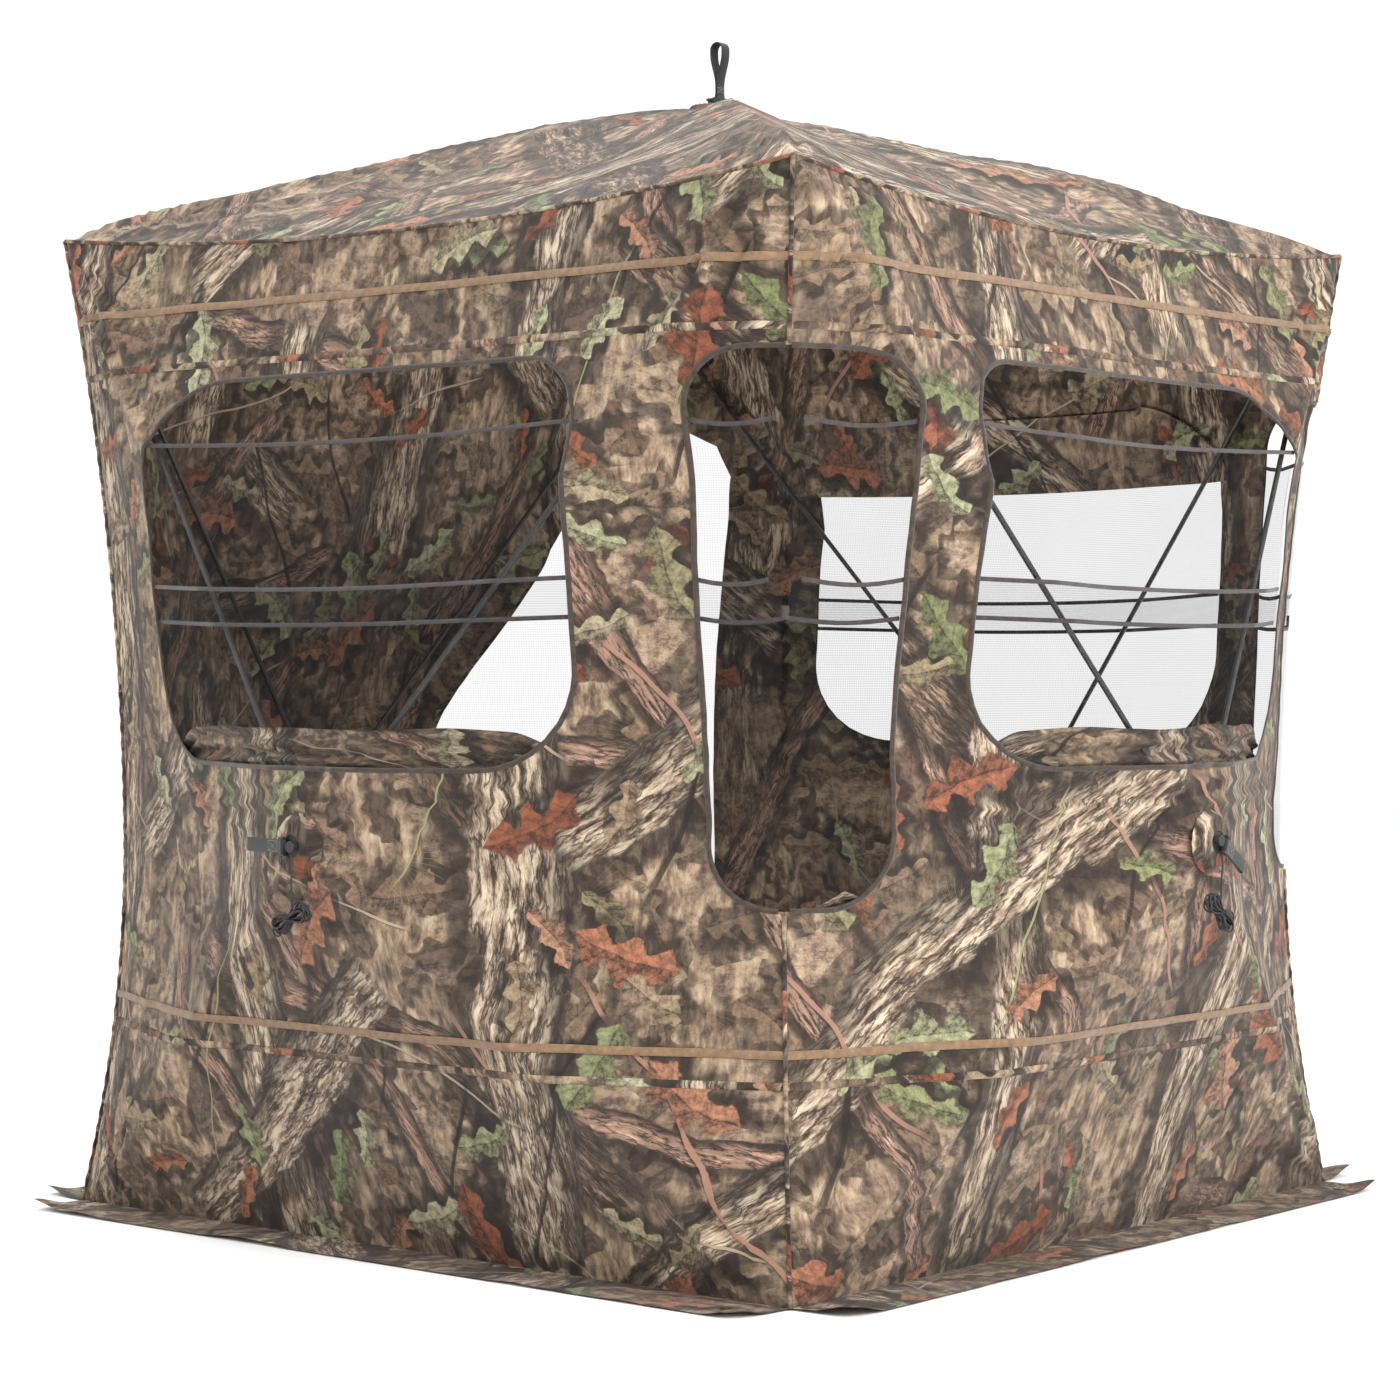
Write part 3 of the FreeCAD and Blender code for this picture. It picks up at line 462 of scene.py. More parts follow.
def metal_material(name, tone):
    n = Nodes(name)
    place = n.node("ShaderNodeTexCoord").outputs["Object"]
    scratch = n.noise(n.scaled(place, 1.0, 1.0, 8.0), 240.0, 4.0)
    colour = n.mix(n.mul(scratch, 0.3), tone, srgb(90, 84, 76))
    n.feed(n.shader.inputs["Roughness"], n.add(0.22, n.mul(scratch, 0.25)))
    return n.finish(colour, n.bump(scratch, 0.0002, 0.4), Metallic=1.0)


def floor_material():
    n = Nodes("pale_floor")
    place = n.node("ShaderNodeTexCoord").outputs["Object"]
    tone = n.noise(place, 1.5, 3.0)
    return n.finish(n.ramp(tone, (0.2, (0.90, 0.90, 0.90, 1)), (0.8, (0.93, 0.93, 0.93, 1))),
                    Roughness=0.75, Specular_IOR_Level=0.2)


# ---------------------------------------------------------------- the shape of the cloth


def spaced(low, high, steps):
    return [low + (high - low) * i / steps for i in range(steps + 1)]


def smooth(value, low, high):
    t = min(max((value - low) / (high - low), 0.0), 1.0)
    return t * t * (3 - 2 * t)


def corner_at(height):
    """How far out a corner seam stands along each axis at a height."""
    part = height / WALL_H
    reach = CORNER_WAIST if part < CORNER_WAIST else 1 - CORNER_WAIST
    pull = CORNER_PULL / math.sqrt(2) * (1 - ((part - CORNER_WAIST) / reach) ** 2)
    return FOOT + (HALF - FOOT) * part - pull


def eave_at(u):
    return WALL_H - EAVE_DIP * (1 - (u / HALF) ** 2)


class Panel:
    """One cloth panel: its outline round the hub, with the height w of each outline point."""

    def __init__(self, side, outline, hub, corners, seed):
        self.side = side
        self.hub = Vector(hub)
        self.corners = [Vector(c) for c in corners]
        self.seed = seed
        self.outline = sorted(outline, key=lambda p: math.atan2(p[1] - hub[1], p[0] - hub[0]))
        self.angles = [math.atan2(p[1] - hub[1], p[0] - hub[0]) for p in self.outline]
        if side == "roof":
            self.matrix = Matrix.Identity(4)
        else:
            flip = Matrix(((1, 0, 0, 0), (0, 0, -1, 0), (0, 1, 0, 0), (0, 0, 0, 1)))
            self.matrix = Matrix.Rotation(math.radians(TURN[side]), 4, "Z") @ flip

    def ray(self, u, v):
        """Share of the way from hub to outline, outline height, length of the ray, angle."""
        du, dv = u - self.hub.x, v - self.hub.y
        reach = math.hypot(du, dv)
        if reach < 1e-6:
            return 0.0, self.hub.z, 1.0, 0.0
        angle = math.atan2(dv, du)
        at = bisect_right(self.angles, angle) % len(self.outline)
        a, b = self.outline[at - 1], self.outline[at]
        ax, ay = a[0] - self.hub.x, a[1] - self.hub.y
        ex, ey = b[0] - a[0], b[1] - a[1]
        cross = du * ey - dv * ex
        if abs(cross) < 1e-12:
            return 1.0, a[2], reach, angle
        length = (ax * ey - ay * ex) / cross
        along = (ax * dv - ay * du) / cross
        return min(1 / length, 1.0), a[2] + (b[2] - a[2]) * along, reach * length, angle

    def height(self, u, v):
        share, edge, full, angle = self.ray(u, v)
        base = self.hub.z + share * (edge - self.hub.z)
        return base + self.folds(u, v, share, full, angle)

    def folds(self, u, v, share, full, angle):
        """How far tension folds, gathers and slack lift the cloth."""
        edge = (1 - share) * full
        reach = share * full
        seed = self.seed
        lift = 0.0
        for index, corner in enumerate(self.corners):
            du, dv = u - corner.x, v - corner.y
            r = math.hypot(du, dv)
            if r > 0.75:
                continue
            aim = math.atan2(self.hub.y - corner.y, self.hub.x - corner.x)
            theta = math.atan2(dv, du) - aim
            theta = (theta + math.pi) % (2 * math.pi) - math.pi
            jitter = noise.noise(Vector((theta * 5, index * 3.7 + seed, r * 2.2)))
            fan = 0.30 + 0.70 * math.cos(theta * corner.z + 5.5 * jitter + index * 1.3 + seed)
            size = smooth(r, 0.0, 0.16) * math.exp(-(r / 0.30) ** 1.5)
            lift += 0.0175 * fan * size * math.exp(-(theta / 0.62) ** 2)
        along = angle * full
        pucker = math.sin(along * 95 + 4 * noise.noise(Vector((along * 3, seed, 0.5))))
        lift += 0.0030 * pucker * math.exp(-edge / 0.045)
        round_hub = Vector((math.cos(angle) * 2, math.sin(angle) * 2, seed))
        star = math.sin(angle * 13 + 3 * noise.noise(round_hub))
        lift += 0.0045 * star * smooth(reach, 0.03, 0.09) * math.exp(-(reach / 0.16) ** 1.4)
        lift += 0.0130 * noise.noise(Vector((u * 3.1, v * 3.1, seed)))
        lift += 0.0060 * noise.noise(Vector((u * 9, v * 7, seed + 4)))
        lift += 0.0016 * noise.noise(Vector((u * 26, v * 22, seed + 9)))
        lift += self.own_folds(u, v)
        return lift * smooth(edge, 0.0, 0.045)

    def own_folds(self, u, v):
        return 0.0

    def place(self, u, v, out=0.0):
        """World point of the cloth at (u, v), moved outward by out."""
        return self.matrix @ Vector((u, v, self.height(u, v) + out))


class WallPanel(Panel):
    def __init__(self, side, seed):
        seam = [(corner_at(z) - SEAM_GAP, z, corner_at(z)) for z in spaced(0.0, WALL_H - SEAM_GAP, 48)]
        other = [(-u, v, w) for u, v, w in seam]
        eave = [(u, eave_at(u) - SEAM_GAP, HALF) for u in spaced(-HALF + 0.03, HALF - 0.03, 40)]
        foot = [(u, 0.0, FOOT) for u in spaced(-FOOT + 0.03, FOOT - 0.03, 40)]
        corners = [(-FOOT, 0.0, 26.0), (FOOT, 0.0, 26.0), (HALF, WALL_H, 24.0), (-HALF, WALL_H, 24.0)]
        super().__init__(side, seam + other + eave + foot, (0, HUB_Z, HALF + HUB_OUT), corners, seed)

    def own_folds(self, u, v):
        """Slack below the window."""
        if self.side not in WINDOW_WALLS:
            return 0.0
        wave = math.sin((v + 0.020 * noise.noise(Vector((u * 3.4, self.seed, 0)))) * 190)
        return 0.0052 * wave * math.exp(-((v - 0.675) / 0.045) ** 2) * smooth(0.56 - abs(u), 0.0, 0.15)


class RoofPanel(Panel):
    def __init__(self):
        rim = []
        for u in spaced(-HALF, HALF, 40)[:-1]:
            z = eave_at(u) + 0.0005
            rim += [(u, -HALF, z), (HALF, u, z), (-u, HALF, z), (-HALF, -u, z)]
        corners = [(-HALF, -HALF, 24.0), (HALF, -HALF, 24.0), (HALF, HALF, 24.0), (-HALF, HALF, 24.0)]
        super().__init__("roof", rim, (0, 0, PEAK), corners, 31.0)

    def own_folds(self, u, v):
        """The poles bow the ridges up."""
        share = max(abs(u), abs(v)) / HALF
        ridge = math.exp(-((abs(u) - abs(v)) / 0.20) ** 2)
        return 4 * share * (1 - share) * (0.012 + 0.014 * ridge)


def rounded_corners(points, radii, steps=10):
    """A closed polygon with each corner replaced by an arc."""
    made = []
    count = len(points)
    for i, (point, radius) in enumerate(zip(points, radii)):
        here = Vector(point)
        before = (Vector(points[i - 1]) - here).normalized()
        after = (Vector(points[(i + 1) % count]) - here).normalized()
        half = before.angle(after) / 2
        back = radius / math.tan(half)
        middle = here + (before + after).normalized() * (radius / math.sin(half))
        start = here + before * back - middle
        end = here + after * back - middle
        for k in range(steps + 1):
            spoke = start.lerp(end, k / steps).normalized() * radius
            made.append(tuple(middle + spoke))
    return made


def divided(points, step, closed=True):
    """The polyline with no run longer than the step."""
    made = []
    count = len(points)
    for i in range(count if closed else count - 1):
        a, b = Vector(points[i]), Vector(points[(i + 1) % count])
        pieces = max(1, math.ceil((b - a).length / step))
        made += [tuple(a.lerp(b, k / pieces)) for k in range(pieces)]
    if not closed:
        made.append(tuple(points[-1]))
    return made


def window_outline(side):
    left, right, low, high = WINDOW
    loop = rounded_corners([(left, low), (right, low), (right, high), (left, high)], WINDOW_R)
    if side == "right":
        loop = [(-u, v) for u, v in reversed(loop)]
    return loop


def end_name(sign):
    return "r" if sign > 0 else "l"


def corner_window_edge(side, sign):
    """The open edge of a corner window on one wall, from the seam and back to it."""
    low, high = CORNER_WINDOW
    inner, r = CORNER_HALVES[side, sign]
    quarter = [(inner + r - r * math.sin(a), r - r * math.cos(a)) for a in spaced(0, math.pi / 2, 12)]
    points = [(corner_at(low) + 0.05, low)]
    points += [(u, low + v) for u, v in quarter]
    points += [(u, high - v) for u, v in reversed(quarter)]
    points.append((corner_at(high) + 0.05, high))
    return [(sign * u, v) for u, v in points]


def inside(point, loop):
    """Whether a point is inside a closed loop."""
    x, y = point
    hit = False
    for (x1, y1), (x2, y2) in zip(loop, loop[1:] + loop[:1]):
        if (y1 > y) != (y2 > y) and x < (x2 - x1) * (y - y1) / (y2 - y1) + x1:
            hit = not hit
    return hit


class Region:
    """Fast inside test for a loop, by rows."""

    def __init__(self, loop):
        self.loop = loop
        self.low = min(v for _, v in loop)
        self.high = max(v for _, v in loop)
        self.left = min(u for u, _ in loop)
        self.right = max(u for u, _ in loop)

    def has(self, u, v):
        if not (self.low <= v <= self.high and self.left <= u <= self.right):
            return False
        return inside((u, v), self.loop)


def flat_sheet(outline, holes, step):
    """Triangles filling an outline without its holes, on an even grid between the edges."""
    loops = [divided(outline, step)] + [divided(h, step * 0.8) for h in holes]
    points, edges, taken = [], [], set()
    for loop in loops:
        first = len(points)
        points += [Vector(p) for p in loop]
        edges += [(first + i, first + (i + 1) % len(loop)) for i in range(len(loop))]
        taken |= {(round(u / step), round(v / step)) for u, v in loop}
    field = Region(loops[0])
    gaps = [Region(loop) for loop in loops[1:]]
    columns = range(math.floor(field.left / step), math.ceil(field.right / step) + 1)
    rows = range(math.floor(field.low / step), math.ceil(field.high / step) + 1)
    for j in rows:
        for i in columns:
            u, v = (i + 0.5 * (j % 2)) * step, j * step
            if (round(u / step), j) in taken:
                continue
            if field.has(u, v) and not any(gap.has(u, v) for gap in gaps):
                points.append(Vector((u, v)))
    found = geometry.delaunay_2d_cdt(points, edges, [], 0, 1e-6)
    verts, faces = found[0], found[2]
    kept = []
    for face in faces:
        middle = sum((verts[i] for i in face), Vector((0, 0))) / len(face)
        if field.has(*middle) and not any(gap.has(*middle) for gap in gaps):
            kept.append(face)
    return [tuple(v) for v in verts], kept


def headings(points, closed=False):
    """The way a polyline runs at each of its points."""
    count = len(points)
    made = []
    for i, point in enumerate(points):
        before = points[i - 1] if closed or i > 0 else point
        after = points[(i + 1) % count] if closed or i < count - 1 else point
        made.append((after - before).normalized())
    return made


def quads(rows, per, closed=False, hoop=False, flip=False):
    """Faces between rows of points: closed joins the last row to the first, and hoop joins
    the two ends of each row."""
    faces = []
    for i in range(rows if closed else rows - 1):
        j = (i + 1) % rows
        for k in range(per if hoop else per - 1):
            m = (k + 1) % per
            face = (i * per + k, j * per + k, j * per + m, i * per + m)
            faces.append(face[::-1] if flip else face)
    return faces


def mesh_object(name, verts, faces, material, uvs=None):
    mesh = bpy.data.meshes.new(name)
    mesh.from_pydata([tuple(v) for v in verts], [], faces)
    mesh.validate()
    layer = mesh.uv_layers.new(name="cloth")
    for loop in mesh.loops:
        if uvs is not None:
            layer.data[loop.index].uv = uvs[loop.vertex_index]
    for polygon in mesh.polygons:
        polygon.use_smooth = True
    mesh.materials.append(material)
    made = new_object(name, mesh)
    return made


def follow_hub(piece, panel):
    """Cloth between the frame's corners and a hub: the nearer to the hub, the more it follows."""
    hub = panel.matrix @ panel.hub
    rim = panel.matrix @ Vector((panel.hub.x, panel.outline[0][1], panel.outline[0][2]))
    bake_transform(piece, "root", "hub_" + panel.side, start=rim, end=hub)
    weights = piece.data.attributes["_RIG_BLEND"]
    inverse = panel.matrix.inverted()
    for vertex, weight in zip(piece.data.vertices, weights.data):
        local = inverse @ vertex.co
        weight.value = 1 - panel.ray(local.x, local.y)[0]
    return piece


def uv_of(panel, u, v):
    """Print coordinates: each panel takes its own part of the cloth."""
    shift = {"front": 0.0, "right": 1.17, "back": 2.31, "left": 3.43, "roof": 4.61}[panel.side]
    return (u + shift, v + shift * 0.37)


def sheet_on(panel, name, outline, holes, out, material, step=CLOTH_STEP):
    flat, faces = flat_sheet(outline, holes, step)
    verts = [panel.place(u, v, out) for u, v in flat]
    uvs = [uv_of(panel, u, v) for u, v in flat]
    return follow_hub(mesh_object(name, verts, faces, material, uvs), panel)


BAND_SECTION = [(-0.5, -1.0), (-0.42, 0.0), (0.0, 1.0), (0.42, 0.0), (0.5, -1.0)]


def band_on(panel, name, path, width, out, material, closed=False, crown=0.0008, step=0.008):
    """A ribbon sewn along a path on a panel, slightly crowned."""
    points = [Vector(p) for p in divided(path, step, closed)]
    verts, uvs = [], []
    travelled = 0.0
    for i, (point, along) in enumerate(zip(points, headings(points, closed))):
        normal = Vector((-along.y, along.x))
        travelled += (point - points[i - 1]).length if i else 0.0
        for a, rise in BAND_SECTION:
            place = point + normal * (a * width)
            verts.append(panel.place(place.x, place.y, out + rise * crown))
            uvs.append((travelled, a * width))
    faces = quads(len(points), len(BAND_SECTION), closed)
    return follow_hub(mesh_object(name, verts, faces, material, uvs), panel)


# ---------------------------------------------------------------- cords and hardware


def hub_point(side, point):
    return hub_matrix(side) @ (Vector(point) * 0.001)


def hank_points(side):
    """A figure eight wound round two fingers, its turns fanned out, tied in the middle."""
    centre = Vector(HANK_CENTRE)
    turn = Matrix.Rotation(math.radians(HANK_TURN[side]), 3, "Z")
    turns, per = 9, 14
    made = []
    for i in range(turns * per + 1):
        a = math.pi / 2 + 2 * math.pi * i / per
        k = i / per
        long = 38.2 - 5.0 * (0.5 + 0.5 * math.sin(2.4 * k + TURN[side]))
        wide = 9.8 - 1.6 * math.sin(1.7 * k)
        layer = -8.0 + 16.0 * k / turns
        fan = Matrix.Rotation(0.24 * math.sin(1.9 * k + 0.8), 3, "Z")
        made.append(centre + turn @ fan @ Vector((long * math.cos(a), wide * math.sin(2 * a),
                                                  layer + 1.2 * math.sin(a))))
    return made


def nurbs_curve(name, points, diameter, material):
    """One smooth open spline with these control points."""
    data = bpy.data.curves.new(name, "CURVE")
    data.dimensions = "3D"
    spline = data.splines.new("NURBS")
    spline.points.add(len(points) - 1)
    for target, point in zip(spline.points, points):
        target.co = (*point, 1.0)
    spline.order_u = 3
    spline.use_endpoint_u = True
    spline.resolution_u = 6
    data.bevel_depth = diameter / 2
    data.bevel_resolution = 3
    data.use_fill_caps = True
    data.materials.append(material)
    return new_object(name, data)


def tube(name, points, radius, material, sides=10, closed=False):
    """A round tube along points, as a mesh."""
    points = [Vector(p) for p in points]
    verts = []
    normal = None
    for point, along in zip(points, headings(points, closed)):
        if normal is None:
            normal = along.orthogonal().normalized()
        normal = (normal - along * normal.dot(along)).normalized()
        side = along.cross(normal)
        for k in range(sides):
            a = 2 * math.pi * k / sides
            verts.append(point + normal * (radius * math.cos(a)) + side * (radius * math.sin(a)))
    faces = quads(len(points), sides, closed, hoop=True, flip=True)
    if not closed:
        faces.append(tuple(reversed(range(sides))))
        faces.append(tuple(range(len(verts) - sides, len(verts))))
    return mesh_object(name, verts, faces, material)


def add_guy_cord(side, material):
    """The cord hangs from the hub's cap and ends wound into its tied hank."""
    route = [Vector(p) for p in CORD_ROUTE]
    winding = hank_points(side)
    control = [hub_point(side, p) for p in route + winding]
    cord = nurbs_curve("guy_cord_visual_" + side, control, CORD_D, material)
    turn = Matrix.Rotation(math.radians(HANK_TURN[side]), 3, "Z")
    wraps = []
    for i in range(3 * 20 + 1):
        a = 2 * math.pi * i / 20
        local = Vector((-3.2 + 6.4 * i / 60, 5.4 * math.cos(a), 9.0 * math.sin(a)))
        wraps.append(hub_point(side, Vector(HANK_CENTRE) + turn @ local))
    tie = tube("guy_tie_" + side, wraps, CORD_D / 2, material)
    end = winding[-1]
    knot = []
    for i in range(48):
        a = 2 * math.pi * i / 48
        ring = 2.4 + 1.1 * math.cos(3 * a)
        knot.append(hub_point(side, end + turn @ Vector((1.5 * math.sin(3 * a), ring * math.cos(2 * a),
                                                         ring * math.sin(2 * a)))))
    tail = tube("guy_knot_" + side, knot, CORD_D / 2, material, closed=True)
    for piece in (cord, tie, tail):
        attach(piece, "hub_" + side)
    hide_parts("guy_cord_" + side, "guy_hank_" + side)


STRAP_SECTION = [(0.5, 0.25), (0.46, 0.5), (0.0, 0.52), (-0.46, 0.5), (-0.5, 0.25), (-0.5, -0.25),
                 (-0.46, -0.5), (0.0, -0.52), (0.46, -0.5), (0.5, -0.25)]


def webbing(name, path, width, thick, place, material):
    """A closed loop of flat webbing along a path in the (x, z) plane of a frame."""
    points = [Vector(p) for p in path]
    verts = []
    for point, along in zip(points, headings(points, closed=True)):
        normal = Vector((-along.y, along.x))
        for y, n in STRAP_SECTION:
            flat = point + normal * (n * thick)
            verts.append(place @ Vector((flat.x, y * width, flat.y)))
    faces = quads(len(points), len(STRAP_SECTION), closed=True, hoop=True)
    return mesh_object(name, verts, faces, material)


def strap_path(length, eye, joined, bulge):
    """Round the pin, two layers sewn together, then an open loop."""
    top = [(-eye * math.cos(a), eye * math.sin(a)) for a in spaced(0, math.pi * 0.60, 8)]
    top += [(x, 0.0011) for x in spaced(0.010, joined, 4)]
    for t in spaced(0.0, 1.0, 14)[1:]:
        x = joined + (length - bulge / 2 - joined) * t
        top.append((x, 0.0011 + (bulge / 2 - 0.0021) * smooth(t, 0.0, 0.9)))
    nose_x, nose_r = length - bulge / 2, bulge / 2 - 0.0010
    top += [(nose_x + nose_r * math.sin(a), nose_r * math.cos(a)) for a in spaced(0, math.pi / 2, 7)[1:]]
    return top + [(x, -z) for x, z in reversed(top[1:-1])]


def add_strap(side, material, thread):
    """A pull strap on its pin, with the box stitch that closes its loop."""
    turn = math.radians(STRAP_TURN.get(side, 0.0))
    tilt = math.radians(-90.0 if side == "roof" else 12.0)
    place = (hub_matrix(side) @ Matrix.Rotation(turn, 4, "Z") @ Matrix.Translation((0.012, 0, 0.009))
             @ Matrix.Rotation(tilt, 4, "Y"))
    joined = 0.024 if side == "roof" else 0.040
    bulge = 0.026 if side == "roof" else 0.0072
    strap = webbing("pull_strap_visual_" + side, strap_path(0.096, 0.0037, joined, bulge), 0.020,
                    0.0019, place, material)
    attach(strap, "pull_strap_" + side)
    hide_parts("pull_strap_" + side)
    low, high = 0.013, joined - 0.003
    corners = [(low, -0.0075), (high, -0.0075), (high, 0.0075), (low, 0.0075)]
    lines = [(corners[i], corners[(i + 1) % 4]) for i in range(4)]
    lines += [(corners[0], corners[2]), (corners[1], corners[3])]
    verts, faces = [], []
    for (x1, y1), (x2, y2) in lines:
        a, b = Vector((x1, y1)), Vector((x2, y2))
        pieces = max(2, round((b - a).length / 0.0028))
        side_way = Vector((-(b - a).y, (b - a).x)).normalized() * 0.00035
        for k in range(pieces):
            start = a.lerp(b, (k + 0.15) / pieces)
            end = a.lerp(b, (k + 0.85) / pieces)
            for face_z in (0.00225, -0.00225):
                first = len(verts)
                for point in (start - side_way, start + side_way, end + side_way, end - side_way):
                    verts.append(place @ Vector((point.x, point.y, face_z)))
                faces.append((first, first + 1, first + 2, first + 3))
    stitches = mesh_object("strap_stitch_" + side, verts, faces, thread)
    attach(stitches, "pull_strap_" + side)


HUB_PATCH = [(0.0165, 0.0034), (0.0190, 0.0030), (0.0240, 0.0006), (0.0300, 0.0002), (0.0375, -0.0002),
             (0.0400, -0.0022), (0.0430, -0.0082), (0.0480, -0.0126)]


def add_hub_patch(side, camo):
    """Cloth drawn over the hub's flange and gathered round its knob."""
    place = hub_matrix(side)
    around = 96
    verts, uvs = [], []
    for i in range(around):
        a = 2 * math.pi * i / around
        for j, (radius, height) in enumerate(HUB_PATCH):
            drift = noise.noise(Vector((math.cos(a), math.sin(a), TURN.get(side, 5))))
            pleat = 0.0011 * abs(math.sin(11 * a + 2 * drift)) * smooth(j, 0.0, 3.0)
            verts.append(place @ Vector((radius * math.cos(a), radius * math.sin(a), height + pleat)))
            uvs.append((0.37 + radius * math.cos(a), 0.71 + radius * math.sin(a)))
    faces = quads(around, len(HUB_PATCH), closed=True, flip=True)
    patch = mesh_object("hub_patch_" + side, verts, faces, camo, uvs)
    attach(patch, "hub_" + side)


# ---------------------------------------------------------------- cloth pieces


def clipped(loop, low, high):
    """The part of a closed loop between two heights."""
    for limit, sign in ((low, 1), (high, -1)):
        made = []
        for (u1, v1), (u2, v2) in zip(loop, loop[1:] + loop[:1]):
            a, b = sign * (v1 - limit), sign * (v2 - limit)
            if a >= 0:
                made.append((u1, v1))
            if (a >= 0) != (b >= 0):
                t = a / (a - b)
                made.append((u1 + (u2 - u1) * t, v1 + (v2 - v1) * t))
        loop = made
    return loop


def grown(loop, by):
    """A closed loop moved outward, away from its middle line."""
    made = []
    count = len(loop)
    area = sum(x1 * y2 - x2 * y1 for (x1, y1), (x2, y2) in zip(loop, loop[1:] + loop[:1]))
    turn = 1 if area > 0 else -1
    for i, point in enumerate(loop):
        along = (Vector(loop[(i + 1) % count]) - Vector(loop[i - 1])).normalized()
        made.append((point[0] + turn * along.y * by, point[1] - turn * along.x * by))
    return made


def corner_window_loop(side, sign, by=0.0, seam_in=-0.05):
    """A corner window's part of one wall, closed along the seam."""
    low, high = CORNER_WINDOW
    edge = []
    for u, v in corner_window_edge(side, sign)[1:-1]:
        if v > low + 0.03 and abs(u) < 0.66:
            u -= sign * by
        edge.append((u, v - by if v < low + 0.02 else v + by if v > high - 0.02 else v))
    seam = [(sign * (corner_at(v) - seam_in), v) for v in spaced(high + by, low - by, 24)]
    return edge + seam


def door_loop(side):
    if side == "back":
        return [(DOOR_IN, DOOR_BOTTOM), (0.80, DOOR_BOTTOM), (0.80, DOOR_TOP), (DOOR_IN + 0.09, DOOR_TOP),
                (DOOR_IN + 0.03, DOOR_TOP - 0.03), (DOOR_IN, DOOR_TOP - 0.09)]
    return [(-0.80, DOOR_TOP)] + FLAP_FOLD + [(-0.80, DOOR_BOTTOM)]


def corner_ends(side):
    """The ends of a wall that have half of a corner window: 1 right, -1 left."""
    return [sign for wall, sign in CORNER_HALVES if wall == side]


def openings(side):
    found = [window_outline(side)] if side in WINDOW_WALLS else []
    found += [corner_window_loop(side, sign) for sign in corner_ends(side)]
    if side in ("back", "left"):
        found.append(door_loop(side))
    return found


def circle(centre, radius, count=28):
    return [(centre[0] + radius * math.cos(2 * math.pi * k / count),
             centre[1] + radius * math.sin(2 * math.pi * k / count)) for k in range(count)]


def wall_loop():
    top = [(u, eave_at(u) - SEAM_GAP) for u in spaced(HALF - 0.0006, -HALF + 0.0006, 60)]
    right = [(corner_at(v) - SEAM_GAP, v) for v in spaced(0.0, WALL_H - 0.001, 90)[:-1]]
    left = [(-u, v) for u, v in reversed(right)]
    return right + top + left


def add_walls(panels, camo):
    for side in TURN:
        panel = panels[side]
        holes = openings(side) + [circle(panel.hub, HUB_HOLE_R)]
        cloth = sheet_on(panel, "cloth_" + side, wall_loop(), holes, 0.0, camo)
        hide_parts("wall_" + side)


def add_roof(panel, camo):
    loop = [(-HALF, -HALF), (HALF, -HALF), (HALF, HALF), (-HALF, HALF)]
    roof = sheet_on(panel, "cloth_roof", loop, [circle((0, 0), HUB_HOLE_R)], 0.0, camo)
    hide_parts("roof")


def piped(name, run, radius, camo):
    """A bound seam along a run, with print coordinates along it and round it."""
    sides = 8
    piece = tube(name, run, radius, camo, sides)
    reach = [0.0]
    for a, b in zip(run, run[1:]):
        reach.append(reach[-1] + (b - a).length)
    layer = piece.data.uv_layers["cloth"]
    for loop in piece.data.loops:
        at, k = divmod(loop.vertex_index, sides)
        layer.data[loop.index].uv = (reach[min(at, len(reach) - 1)] + 0.13, 0.003 * k)
    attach(piece, "root")


def add_seams(camo):
    """Bound seams down the corners and round the eaves."""
    for side, turn in TURN.items():
        spin = Matrix.Rotation(math.radians(turn), 4, "Z")
        seam = []
        for v, wave in zip(spaced(0.002, WALL_H, 260), spaced(0.0, WALL_H, 260)):
            reach = corner_at(v) + 0.0006 + 0.0005 * math.sin(wave * 230 + turn)
            seam.append(spin @ Vector((reach, -reach, v)))
        gap = {"front": CORNER_WINDOW, "right": CORNER_WINDOW, "back": (DOOR_BOTTOM, DOOR_TOP)}.get(side)
        runs = [[p for p in seam if p.z < gap[0]], [p for p in seam if p.z > gap[1]]] if gap else [seam]
        for index, run in enumerate(runs):
            piped(f"corner_seam_{side}_{index}", run, CORNER_SEAM_R, camo)
        eave = [spin @ Vector((u, -HALF - 0.0004, eave_at(u) + 0.0002)) for u in spaced(-HALF, HALF, 200)]
        piped("eave_seam_" + side, eave, EAVE_SEAM_R, camo)


def strip_ends(side, z):
    """Where a ribbon starts and stops on a wall."""
    left, right = -corner_at(z) + 0.001, corner_at(z) - 0.001
    if z < DOOR_TOP and side == "back":
        right = DOOR_IN - 0.018
    if z < DOOR_TOP and side == "left":
        left = -0.145
    return left, right


def add_strips(panels, tan, camo):
    """Loop ribbons for brush, and the felled seams of the cloth beside them."""
    for side in TURN:
        panel = panels[side]
        for index, (z, seam_z) in enumerate(((STRIP_LOWER_Z, STRIP_LOWER_Z - 0.043),
                                             (STRIP_UPPER_Z, STRIP_UPPER_Z - 0.092))):
            path = [(u, z + 0.0016 * noise.noise(Vector((u * 9, z, panel.seed)))) for u in
                    spaced(*strip_ends(side, z), 170)]
            strip = band_on(panel, f"loop_strip_{side}_{index}", path, 0.012, 0.0024, tan)
            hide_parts("loop_strips")
            path = [(u, seam_z) for u in spaced(*strip_ends(side, seam_z), 170)]
            band_on(panel, f"felled_seam_{side}_{index}", path, 0.011, 0.0014, camo,
                    crown=0.0012)


